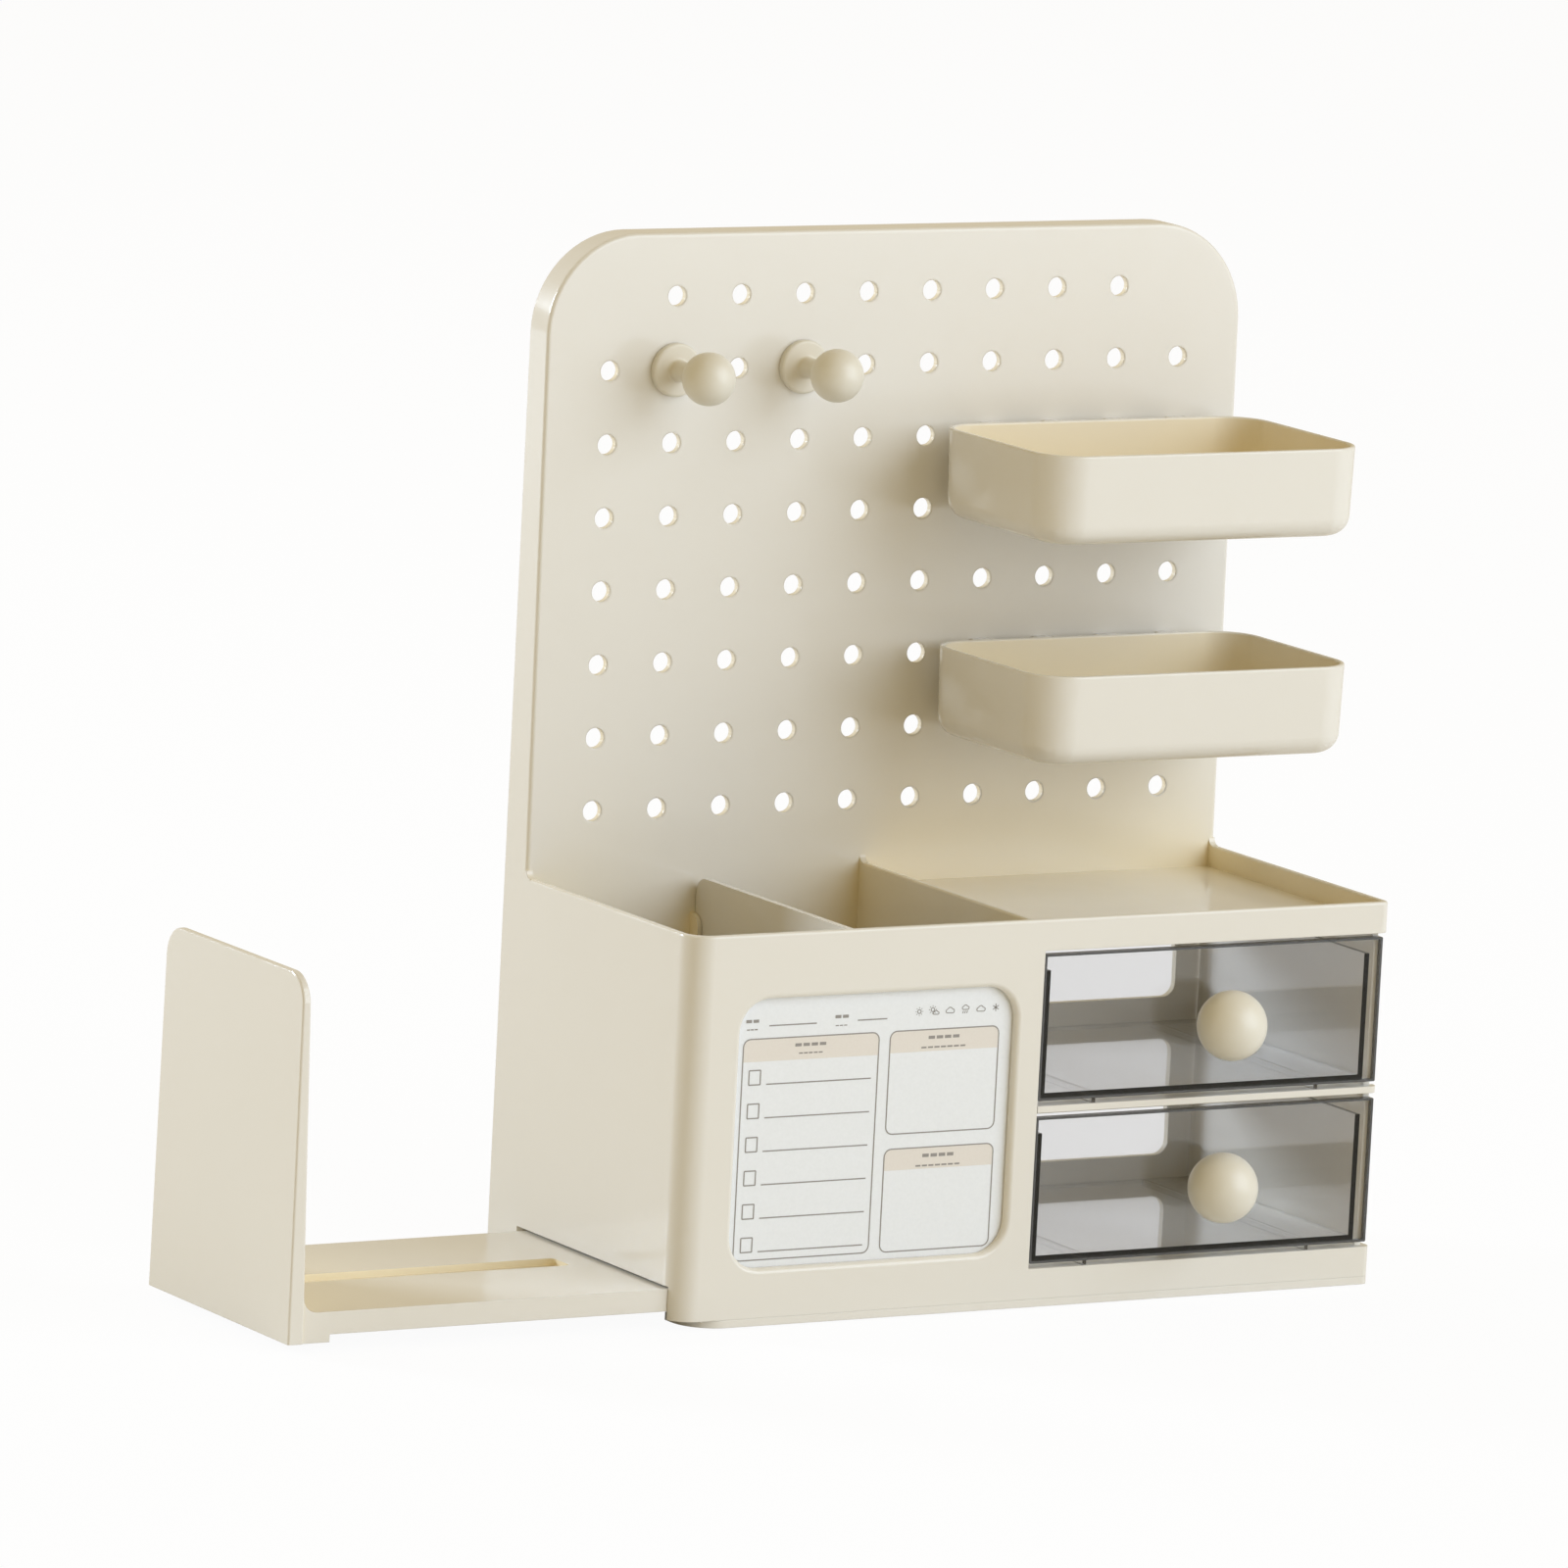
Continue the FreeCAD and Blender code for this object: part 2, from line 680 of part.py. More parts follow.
def middle_shelf():
    """Shelf between the drawers with a lip that shows at the front."""
    back_y = panel_y(shell_bottom) - cabinet_back_gap
    plate = block(bay_left + shelf_gap, bay_right - shelf_gap, cabinet_front_y - overlap, back_y,
                  shelf_bottom, shelf_top)
    end_x = right - shelf_end_recess
    lip = upright_prism([(bay_left, front, 0), (end_x, front, shelf_end_radius),
                         (end_x, cabinet_front_y, 0), (bay_left, cabinet_front_y, 0)],
                        shelf_bottom, shelf_top)
    stop = block(bay_left + shelf_rail_width + shelf_gap, bay_right - shelf_rail_width - shelf_gap,
                 cabinet_front_y, cabinet_front_y + stop_rib_width,
                 base_fascia_top + stop_rib_height, shelf_bottom + overlap)
    return joined(plate, lip, stop)


def knob_centre(ledge):
    """Middle of a knob's ball for the drawer that stands on a ledge."""
    front_left_x = memo_front_right + front_gap
    front_right_x = bay_right + front_overlap
    return V((front_left_x + front_right_x) / 2.0, front_face_y - knob_standoff,
             ledge + front_foot_gap + front_height / 2.0)


def drawer(ledge):
    """Clear drawer in one piece: front, tub, runner ribs and stop tabs."""
    x0 = memo_front_right + front_gap
    x1 = bay_right + front_overlap
    z0 = ledge + front_foot_gap
    plate = facing_prism(rectangle(x0, x1, z0, z0 + front_height, front_gap),
                         front_face_y, front_back_y)
    tub_left = bay_left + drawer_side_gap
    tub_right = bay_right - drawer_side_gap
    tub_back = panel_y(shell_bottom) - drawer_back_gap
    tub_bottom = ledge + foot_height
    tub_top = tub_bottom + drawer_side_height
    outer = upright_prism([(tub_left, front_back_y - overlap, 0),
                           (tub_right, front_back_y - overlap, 0),
                           (tub_right, tub_back, drawer_corner_radius),
                           (tub_left, tub_back, drawer_corner_radius)], tub_bottom, tub_top)
    inner = upright_prism([(tub_left + drawer_wall, front_back_y, 0),
                           (tub_right - drawer_wall, front_back_y, 0),
                           (tub_right - drawer_wall, tub_back - drawer_wall,
                            drawer_corner_radius - drawer_wall),
                           (tub_left + drawer_wall, tub_back - drawer_wall,
                            drawer_corner_radius - drawer_wall)],
                          tub_bottom + drawer_wall, tub_top + overlap)
    pieces = [outer.cut(inner)]
    tab_front = cabinet_front_y + stop_rib_width + drawer_out_length + stop_slack
    for x in (tub_left, tub_right - drawer_wall):
        pieces.append(block(x, x + drawer_wall, tab_front, tab_front + tab_length,
                            tub_top - overlap, ledge + tab_height))
    for x in (x0 + foot_from_front_end - foot_width, x1 - foot_from_front_end - foot_width):
        pieces.append(block(x, x + foot_width, front_face_y + front_gap, tub_back - drawer_wall,
                            ledge, tub_bottom + overlap))
    shape = joined(plate, *pieces)
    centre = knob_centre(ledge)
    hole = rod(knob_screw_radius + knob_screw_gap, V(centre.x, front, centre.z),
               front_back_y - front + overlap, V(0, 1, 0))
    return shape.cut(hole)


def ball_knob(ledge):
    """Ball with a short neck and a blind hole for its screw."""
    centre = knob_centre(ledge)
    ball = Part.makeSphere(knob_radius, centre, V(0, 1, 0))
    neck = rod(knob_neck_radius, centre, knob_standoff, V(0, 1, 0))
    hole = rod(knob_screw_radius + knob_screw_gap, V(centre.x, front_face_y, centre.z),
               knob_screw_depth, V(0, -1, 0))
    return joined(ball, neck).cut(hole)


def knob_screw(ledge):
    """Pan-head screw from inside the drawer into the knob."""
    centre = knob_centre(ledge)
    head = rod(knob_screw_head_radius, V(centre.x, front_back_y, centre.z), knob_screw_head,
               V(0, 1, 0))
    head = head.makeFillet(knob_screw_head_rounding,
                           edges_at_depth(head, front_back_y + knob_screw_head))
    length = front_thickness + knob_screw_depth - knob_screw_head
    shank = rod(knob_screw_radius, V(centre.x, front_back_y, centre.z), length, V(0, -1, 0))
    return joined(head, shank)


# ---- pieces that lift out of the box ---------------------------------------------------------
def divider_plate():
    """Loose divider between its channels."""
    bottom = cell_floor_top + slide_in_gap
    corners = [(backing_back_y + slide_in_gap, bottom, 0),
               (panel_y(bottom) - slide_in_gap, bottom, 0),
               (panel_y(divider_top) - slide_in_gap, divider_top, divider_corner_radius),
               (backing_back_y + slide_in_gap, divider_top, divider_corner_radius)]
    return side_prism(corners, divider_left, divider_left + divider_thickness)


def memo_card():
    """Printed card behind the window."""
    return block(window_left - card_side_margin, window_left + window_width + card_side_margin,
                 card_face_y, card_back_y, card_bottom, card_top)


def memo_backing():
    """Plate behind the card, with the divider's front channel."""
    corner_x = left + front_left_radius
    corner_y = front + front_left_radius
    bend = front_left_radius - wall - channel_gap
    start = corner_x - math.sqrt(bend ** 2 - (corner_y - backing_front_y) ** 2)
    plate = block(start, partition_left - channel_gap, backing_front_y, backing_back_y,
                  cell_floor_top, backing_top)
    ribs = divider_channels(backing_back_y, channel_depth, 0.0)
    ribs = [rib.common(block(left, right, front, rear, cell_floor_top, rim_height))
            for rib in ribs]
    return joined(plate, *ribs)


# ---- book end --------------------------------------------------------------------------------
def bookend():
    """Upright plate, channelled base and the tongue that slides in the body."""
    inner_low = plate_outer_x + plate_thickness_low
    inner_top = plate_outer_x + plate_thickness_top
    upright = facing_prism([(plate_outer_x, plate_foot_z, 0), (inner_low, plate_foot_z, 0),
                            (inner_low, base_top_z, 0), (inner_top, plate_top_z, 0),
                            (plate_outer_x, plate_top_z, 0)], plate_front_y, plate_rear_y)
    profile = side_prism([(plate_front_y, plate_foot_z, 0), (plate_rear_y, plate_foot_z, 0),
                          (plate_rear_y - plate_rear_taper, plate_top_z, plate_corner_radius),
                          (plate_front_y, plate_top_z, plate_corner_radius)],
                         plate_outer_x, inner_low)
    upright = upright.common(profile)
    outline = [edge for edge in upright.Edges
               if edge.BoundBox.ZMax > base_top_z + overlap
               and (edge.BoundBox.XMax < plate_outer_x + tolerance
                    or edge.BoundBox.XMin > inner_top - tolerance)
               and not (edge.BoundBox.ZMax < base_top_z + tolerance)]
    upright = upright.makeFillet(plate_edge_rounding, outline)
    high = block(inner_low - overlap, high_part_end_x, base_front_y, base_rear_y,
                 base_bottom_z, base_top_z)
    hollow_end = high_part_end_x + overlap
    foot_end = plate_outer_x + foot_start + foot_depth
    hollow = block(foot_end, hollow_end, base_front_y + base_skin, base_rear_y - base_skin,
                   base_bottom_z - overlap, base_top_z - base_skin)
    groove_front = groove_centre_y - groove_width / 2.0
    groove_rear = groove_centre_y + groove_width / 2.0
    groove_end = left - groove_end_from_wall
    groove_floor = base_top_z - groove_depth
    trough = block(inner_low - overlap, groove_end + groove_skin, groove_front - groove_skin,
                   groove_rear + groove_skin, groove_floor - groove_skin, base_top_z - overlap)
    groove = upright_prism(rectangle(inner_low - overlap, groove_end, groove_front, groove_rear,
                                     groove_skin), groove_floor, base_top_z + overlap)
    foot = block(plate_outer_x + foot_start, foot_end, base_front_y, base_rear_y,
                 plate_foot_z, base_bottom_z + overlap)
    corner = block(inner_low - overlap, inner_low + base_fillet, base_front_y, base_rear_y,
                   base_top_z - overlap, base_top_z + base_fillet)
    round_tool = rod(base_fillet, V(inner_low + base_fillet, base_front_y - overlap,
                                    base_top_z + base_fillet),
                     base_rear_y - base_front_y + 2 * overlap, V(0, 1, 0))
    corner = corner.cut(round_tool)
    high = joined(high.cut(hollow), trough, foot, corner)
    groove_tool = groove.fuse(block(inner_low, inner_low + base_fillet, groove_front,
                                    groove_rear, groove_floor, base_top_z + base_fillet))
    high = high.cut(groove_tool.cut(upright))
    tongue_front = tongue_centre_y - tongue_width / 2.0
    tongue_rear = tongue_centre_y + tongue_width / 2.0
    side_front = tongue_front + tongue_flange
    side_rear = tongue_rear - tongue_flange
    tongue_start = high_part_end_x - tongue_flange
    rail_bottom = shell_bottom + run_gap
    skin = block(tongue_start, tongue_end_x, side_front, side_rear,
                 tongue_top_z - tongue_skin, tongue_top_z)
    bridge = block(tongue_start, high_part_end_x, base_front_y, base_rear_y,
                   tongue_top_z - tongue_skin, base_top_z)
    rails = []
    rail_start = relief_end_x + guide_start
    for edge, side in ((tongue_front, 1), (tongue_rear, -1)):
        inner = edge + side * (tongue_flange + tongue_skin)
        web_edge = edge + side * tongue_flange
        rails.append(block(rail_start, tongue_end_x, min(web_edge, inner), max(web_edge, inner),
                           rail_bottom, tongue_top_z))
        rails.append(block(rail_start, tongue_end_x, min(edge, inner), max(edge, inner),
                           rail_bottom, rail_bottom + tongue_flange_thickness))
    shape = joined(upright, high, bridge, skin, *rails)
    holes = [rod(screw_radius + screw_hole_gap, V(x, y, tongue_top_z - tongue_skin - overlap),
                 tongue_skin + 2 * overlap, V(0, 0, 1)) for x, y in stop_screw_places()]
    return shape.cut(Part.makeCompound(holes))


def stop_screw_places():
    """Plan places of the two screws of the stop block."""
    x = tongue_end_x - stop_block_length / 2.0
    return [(x, tongue_centre_y + side * stop_screw_spacing / 2.0) for side in (-1, 1)]


def bookend_stop():
    """Block under the tongue's inner end that keeps the book end from pulling out."""
    shape = block(tongue_end_x - stop_block_length, tongue_end_x,
                  tongue_centre_y - stop_block_width / 2.0,
                  tongue_centre_y + stop_block_width / 2.0,
                  shell_bottom + stop_block_lift, tongue_top_z - tongue_skin)
    cuts = []
    for x, y in stop_screw_places():
        cuts.append(rod(screw_radius + screw_clearance, V(x, y, 0), far, V(0, 0, 1)))
        cuts.append(rod(screw_head_radius + screw_clearance, V(x, y, 0),
                        shell_bottom + stop_block_lift + screw_head_height, V(0, 0, 1)))
    return shape.cut(Part.makeCompound(cuts))


def stop_screws():
    """Two short screws that hold the stop block to the tongue."""
    screws = []
    head_z = shell_bottom + stop_block_lift
    for x, y in stop_screw_places():
        head = rod(screw_head_radius, V(x, y, head_z), screw_head_height, V(0, 0, 1))
        shank = rod(screw_radius, V(x, y, head_z + screw_head_height),
                    tongue_top_z - head_z - screw_head_height, V(0, 0, 1))
        screws.append(joined(head, shank))
    return Part.makeCompound(screws)


# ---- hooks and hanging trays -----------------------------------------------------------------
def split_stud(x, z, root_y):
    """Stud for a peg hole with a slit that lets it spring."""
    tip_y = panel_y(z) + panel_sheet + stud_past_panel
    radius = hole_radius - stud_gap
    stud = rod(radius, V(x, root_y, z), tip_y - root_y, V(0, 1, 0))
    stud = stud.makeChamfer(stud_chamfer, edges_at_depth(stud, tip_y))
    slit = block(x - stud_slit / 2.0, x + stud_slit / 2.0, panel_y(z) + overlap, tip_y + overlap,
                 z - far, z + far)
    return stud.cut(slit)


def ball_hook(column):
    """Round-headed hook that pushes into one peg hole."""
    x = hole_x(column)
    z = hole_z(hook_row)
    seat_y = panel_y(z - hook_flange_radius)
    flange = rod(hook_flange_radius, V(x, seat_y, z), hook_flange_thickness, V(0, -1, 0))
    face_y = seat_y - hook_flange_thickness
    flange = flange.makeFillet(hook_flange_rounding, edges_at_depth(flange, face_y))
    ball_y = panel_y(z) - hook_length
    ball = Part.makeSphere(hook_ball_radius, V(x, ball_y, z), V(0, 1, 0))
    neck = rod(hook_neck_radius, V(x, face_y + overlap, z), face_y + overlap - ball_y,
               V(0, -1, 0))
    shape = joined(flange, neck, ball)
    neck_root = [edge for edge in edges_at_depth(shape, face_y)
                 if edge.BoundBox.XLength < hook_flange_radius]
    shape = shape.makeFillet(hook_flange_rounding, neck_root)
    return joined(shape, split_stud(x, z, seat_y - overlap))


def tray_shell(inset, bottom, top, y_front, y_back):
    """Rounded tray form, drawn in by an inset, a little narrower at its bottom."""
    radius = hang_corner_radius - inset
    x0 = hole_x(hang_stud_columns[0]) - hang_end_margin + inset
    x1 = hole_x(hang_stud_columns[-1]) + hang_end_margin - inset
    wires = []
    for z, draw in ((bottom, hang_taper_width), (top, 0.0)):
        corners = rectangle(x0 + draw, x1 - draw, y_front + inset + draw, y_back - inset - draw,
                            radius - draw)
        face = rounded_face(corners, lambda u, v, level=z: V(u, v, level))
        wires.append(face.OuterWire)
    form = Part.makeLoft(wires, True, True)
    return form.makeFillet(hang_bottom_radius - inset, edges_at_height(form, bottom))


def hanging_tray(row):
    """Shallow tray that hangs on the pegboard by four studs."""
    stud_z = hole_z(row)
    top = stud_z + hang_above_row
    bottom = top - hang_height
    face_y = panel_y(stud_z)
    back_y = face_y - hang_back_gap
    front_y = back_y - hang_depth
    outer = tray_shell(0.0, bottom, top, front_y, back_y)
    inner = tray_shell(hang_wall, bottom + hang_wall, top + overlap, front_y, back_y)
    shape = outer.cut(inner)
    shape = shape.makeFillet(hang_rim_rounding, edges_at_height(shape, top))
    solids = []
    seat_y = panel_y(stud_z - hang_collar_radius)
    for column in hang_stud_columns:
        x = hole_x(column)
        solids.append(rod(hang_collar_radius, V(x, back_y - hang_wall / 2.0, stud_z),
                          seat_y - back_y + hang_wall / 2.0, V(0, 1, 0)))
        solids.append(split_stud(x, stud_z, seat_y - overlap))
    rest_z = stud_z - hang_rest_drop
    rest_y = panel_y(rest_z - hang_rest_radius)
    for column in hang_rest_columns:
        solids.append(rod(hang_rest_radius, V(hole_x(column), back_y - hang_wall, rest_z),
                          rest_y - back_y + hang_wall, V(0, 1, 0)))
    solids = [solid.cut(inner) for solid in solids]
    collar_top = block(-far, far, -far, far, top - hang_rim_rounding, far)
    solids = [solid.cut(collar_top) for solid in solids]
    return joined(shape, *solids)


# ---- everything ------------------------------------------------------------------------------
os.makedirs("parts", exist_ok=True)
pieces = {
    "main_housing": main_housing(),
    "bottom_cover": bottom_cover(),
    "cover_screws": cover_screws(),
    "foot_pads": foot_pads(),
    "drawer_cabinet": drawer_cabinet(),
    "middle_shelf": middle_shelf(),
    "memo_backing": memo_backing(),
    "memo_card": memo_card(),
    "divider_plate": divider_plate(),
    "bookend": bookend(),
    "bookend_stop": bookend_stop(),
    "stop_screws": stop_screws(),
}
for level, ledge_z in drawer_ledges.items():
    pieces["drawer_" + level] = drawer(ledge_z)
    pieces["knob_" + level] = ball_knob(ledge_z)
    pieces["knob_screw_" + level] = knob_screw(ledge_z)
for side_name, hook_column in zip(("left", "right"), hook_columns):
    pieces["hook_" + side_name] = ball_hook(hook_column)
for level, tray_row in zip(("upper", "lower"), hang_rows):
    pieces["tray_" + level] = hanging_tray(tray_row)
for piece_name, piece_shape in pieces.items():
    save(piece_name, piece_shape)
    print(piece_name, len(piece_shape.Solids), round(piece_shape.Volume, 1), piece_shape.isValid())
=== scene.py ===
"""Dressed scene of the pegboard desk organizer: finishes, printed card, lips, studio and camera.

Metres.  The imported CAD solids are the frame.  Each sub-assembly is a class that copies its nodes
as smooth closed meshes, adds what the solids leave to the dressing, and rides on its own body.
"""

import json
import logging
import math
from dataclasses import dataclass
from enum import Enum
from typing import Iterable, Sequence

import bmesh
import bpy
from bpy.types import Material, Mesh, Node, NodeSocket, NodeTree, Object
from mathutils import Matrix, Vector

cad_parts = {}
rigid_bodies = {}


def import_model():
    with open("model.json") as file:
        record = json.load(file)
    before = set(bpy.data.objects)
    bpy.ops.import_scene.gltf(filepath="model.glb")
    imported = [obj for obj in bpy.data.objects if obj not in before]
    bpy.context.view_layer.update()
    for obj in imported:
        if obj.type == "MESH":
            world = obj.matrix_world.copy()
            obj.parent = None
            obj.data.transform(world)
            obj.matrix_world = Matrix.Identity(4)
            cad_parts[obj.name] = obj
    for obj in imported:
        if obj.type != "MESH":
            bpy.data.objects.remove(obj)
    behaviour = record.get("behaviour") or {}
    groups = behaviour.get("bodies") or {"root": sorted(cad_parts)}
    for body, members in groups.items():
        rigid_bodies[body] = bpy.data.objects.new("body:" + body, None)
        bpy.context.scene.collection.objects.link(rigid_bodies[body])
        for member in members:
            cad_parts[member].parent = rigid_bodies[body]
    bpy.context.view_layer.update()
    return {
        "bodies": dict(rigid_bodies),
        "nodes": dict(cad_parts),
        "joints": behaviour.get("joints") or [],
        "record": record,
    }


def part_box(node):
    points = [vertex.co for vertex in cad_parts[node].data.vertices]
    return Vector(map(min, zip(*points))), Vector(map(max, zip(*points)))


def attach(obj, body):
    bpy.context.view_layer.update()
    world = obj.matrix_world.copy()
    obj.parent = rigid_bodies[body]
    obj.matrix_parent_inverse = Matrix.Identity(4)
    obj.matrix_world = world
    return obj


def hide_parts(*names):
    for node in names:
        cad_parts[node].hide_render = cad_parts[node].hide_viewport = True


LOG = logging.getLogger("organizer")
Point = tuple[float, float]
Triple = tuple[float, float, float]
Colour = tuple[float, float, float, float]
Box = tuple[float, float, float, float]
"""Left, right, lower and upper edge."""
Sockets = Sequence[tuple[str, str]]
"""Name and type of each socket."""


class Slot(Enum):
    """Material slots of the record."""

    CREAM = "cream_plastic"
    KNOB = "knob_cream"
    SMOKED = "smoked_clear"
    CARD = "card_white"
    STEEL = "screw_steel"
    RUBBER = "pad_rubber"


class Body(Enum):
    """Moving and fixed bodies of the frame."""

    HOUSING = "housing"
    DRAWER_UPPER = "drawer_upper_body"
    DRAWER_LOWER = "drawer_lower_body"
    BOOKEND = "bookend_body"
    DIVIDER = "divider_body"
    CARD = "card_body"
    HOOK_LEFT = "hook_left_body"
    HOOK_RIGHT = "hook_right_body"
    TRAY_UPPER = "tray_upper_body"
    TRAY_LOWER = "tray_lower_body"


def rgb(red: float, green: float, blue: float) -> Colour:
    """Linear colour with full alpha."""
    return (red, green, blue, 1.0)


# ---- nodes
def feed(tree: NodeTree, node: Node, inputs: dict[object, object]) -> None:
    """Give a node what its inputs take.

    Args:
        tree: Tree that the node is in.
        node: The node.
        inputs: A socket to link from, or a value to hold, by the input's name or place.
    """
    for label, value in inputs.items():
        if isinstance(value, NodeSocket):
            tree.links.new(value, node.inputs[label])
        else:
            node.inputs[label].default_value = value


def add_node(tree: NodeTree, kind: str, inputs: dict[object, object],
             **settings: object) -> Node:
    """Node with its settings and inputs.

    Args:
        tree: Tree that it joins.
        kind: Type of the node.
        inputs: What its inputs take.
        settings: Its properties, set before the inputs.

    Returns:
        The new node.
    """
    node = tree.nodes.new(kind)
    for label, value in settings.items():
        setattr(node, label, value)
    feed(tree, node, inputs)
    return node


def maths(tree: NodeTree, operation: str, *values: object,
          use_clamp: bool = False) -> NodeSocket:
    """Result of a math node on sockets or numbers."""
    return add_node(tree, "ShaderNodeMath", dict(enumerate(values)), operation=operation,
                    use_clamp=use_clamp).outputs[0]


def mix_shaders(tree: NodeTree, share: NodeSocket, first: Node,
                second: Node) -> Node:
    """Mix of two shaders, by the share of the second."""
    return add_node(tree, "ShaderNodeMixShader",
                    {0: share, 1: first.outputs[0], 2: second.outputs[0]})


def new_tree(name: str, kind: str, inputs: Sockets, outputs: Sockets) -> NodeTree:
    """Tree with named inputs and outputs.

    Args:
        name: Name of the tree.
        kind: Type of the tree.
        inputs: Its inputs.
        outputs: Its outputs.

    Returns:
        The tree with its group input and output nodes.
    """
    tree = bpy.data.node_groups.new(name, kind)
    for sockets, way in ((inputs, "INPUT"), (outputs, "OUTPUT")):
        for label, socket in sockets:
            tree.interface.new_socket(label, in_out=way, socket_type="NodeSocket" + socket)
    tree.nodes.new("NodeGroupInput")
    tree.nodes.new("NodeGroupOutput")
    return tree


# ---- shader groups
class ShaderGroups:
    """Node groups that several finishes share, each built once."""

    skin_outputs = (("Colour", "Color"), ("Roughness", "Float"), ("Height", "Float"))
    cloud_scale, cloud_detail = 16.0, 3.0
    grain_scale, grain_detail = 1400.0, 2.0
    flow_scale, flow_detail = 70.0, 1.0
    grain_share = 0.25
    fibre_detail = 4.0

    def __init__(self) -> None:
        """Build the groups."""
        self.moulded = self._moulded_skin()
        self.fibre = self._fibre()

    def _moulded_skin(self) -> NodeTree:
        """Colour, roughness and height of an injection-moulded plastic skin.

        Returns:
            Group whose colour turns towards a painted shade colour in deep corners, by ambient
            occlusion, as painted bounce light, and clouds a little over the surface.
        """
        tree = new_tree("moulded_skin", "ShaderNodeTree", [
            ("Vector", "Vector"), ("Open Colour", "Color"), ("Painted Shade Colour", "Color"),
            ("Openness", "Float"), ("Cloud", "Float"), ("Roughness", "Float"),
            ("Roughness Spread", "Float")], self.skin_outputs)
        source = tree.nodes["Group Input"].outputs
        cloud, grain, flow = [
            add_node(tree, "ShaderNodeTexNoise", {"Scale": scale, "Detail": detail,
                                                  "Vector": source["Vector"]}).outputs["Fac"]
            for scale, detail in ((self.cloud_scale, self.cloud_detail),
                                  (self.grain_scale, self.grain_detail),
                                  (self.flow_scale, self.flow_detail))]
        # Painted shade: where ambient occlusion finds the surface enclosed, the colour is mixed
        # towards the painted shade colour, standing in for warm bounce light in recesses.
        warm = add_node(tree, "ShaderNodeMix",
                        {"Factor": source["Openness"], 6: source["Painted Shade Colour"],
                         7: source["Open Colour"]}, data_type="RGBA")
        amount = maths(tree, "MULTIPLY_ADD", maths(tree, "SUBTRACT", cloud, 0.5),
                       source["Cloud"], 1.0)
        tint = add_node(tree, "ShaderNodeVectorMath", {0: warm.outputs[2], "Scale": amount},
                        operation="SCALE")
        rough = maths(tree, "MULTIPLY_ADD", maths(tree, "SUBTRACT", flow, 0.5),
                      source["Roughness Spread"], source["Roughness"], use_clamp=True)
        height = maths(tree, "MULTIPLY_ADD", grain, self.grain_share, flow)
        feed(tree, tree.nodes["Group Output"],
             {"Colour": tint.outputs[0], "Roughness": rough, "Height": height})
        return tree

    def _fibre(self) -> NodeTree:
        """Colour and height of a fibrous or grained skin, for card, ink, steel and pads.

        Returns:
            Group whose grain may be stretched along one axis.
        """
        tree = new_tree("fibre_skin", "ShaderNodeTree", [
            ("Vector", "Vector"), ("Stretch", "Vector"), ("Colour", "Color"),
            ("Grain Colour", "Color"), ("Grain Scale", "Float"), ("Roughness", "Float"),
            ("Roughness Spread", "Float")], self.skin_outputs)
        source = tree.nodes["Group Input"].outputs
        pull = add_node(tree, "ShaderNodeVectorMath",
                        {0: source["Vector"], 1: source["Stretch"]}, operation="MULTIPLY")
        grain = add_node(tree, "ShaderNodeTexNoise",
                         {"Detail": self.fibre_detail, "Vector": pull.outputs[0],
                          "Scale": source["Grain Scale"]}).outputs["Fac"]
        mix = add_node(tree, "ShaderNodeMix",
                       {"Factor": grain, 6: source["Colour"], 7: source["Grain Colour"]},
                       data_type="RGBA")
        rough = maths(tree, "MULTIPLY_ADD", grain, source["Roughness Spread"],
                      source["Roughness"], use_clamp=True)
        feed(tree, tree.nodes["Group Output"],
             {"Colour": mix.outputs[2], "Roughness": rough, "Height": grain})
        return tree


# ---- finishes
def new_material(name: str) -> tuple[NodeTree, Node, Material]:
    """Material with only its Principled BSDF and output.

    Args:
        name: Name of the material.

    Returns:
        Its node tree, its shader node and the material.
    """
    material = bpy.data.materials.new(name)
    material.use_nodes = True
    return material.node_tree, material.node_tree.nodes["Principled BSDF"], material


def add_skin(tree: NodeTree, group: NodeTree, inputs: dict[object, object]) -> Sequence:
    """Shared skin in the object's own coordinates.

    Args:
        tree: Tree of the material.
        group: The skin's group.
        inputs: What its inputs take.

    Returns:
        Its outputs.
    """
    place = add_node(tree, "ShaderNodeTexCoord", {})
    return add_node(tree, "ShaderNodeGroup", {"Vector": place.outputs["Object"], **inputs},
                    node_tree=group).outputs


def add_relief(tree: NodeTree, shader: Node, height: NodeSocket,
               strength: float, depth: float, edge: float) -> None:
    """Small relief over softened edges.

    Args:
        tree: Tree of the material.
        shader: Its Principled BSDF.
        height: Socket with the height of the relief.
        strength: Strength of the relief.
        depth: Depth of the relief.
        edge: Radius of the softened edges, or 0 for none.
    """
    bump = add_node(tree, "ShaderNodeBump",
                    {"Strength": strength, "Distance": depth, "Height": height})
    if edge > 0.0:
        soft = add_node(tree, "ShaderNodeBevel", {"Radius": edge}, samples=4)
        feed(tree, bump, {"Normal": soft.outputs["Normal"]})
    feed(tree, shader, {"Normal": bump.outputs["Normal"]})


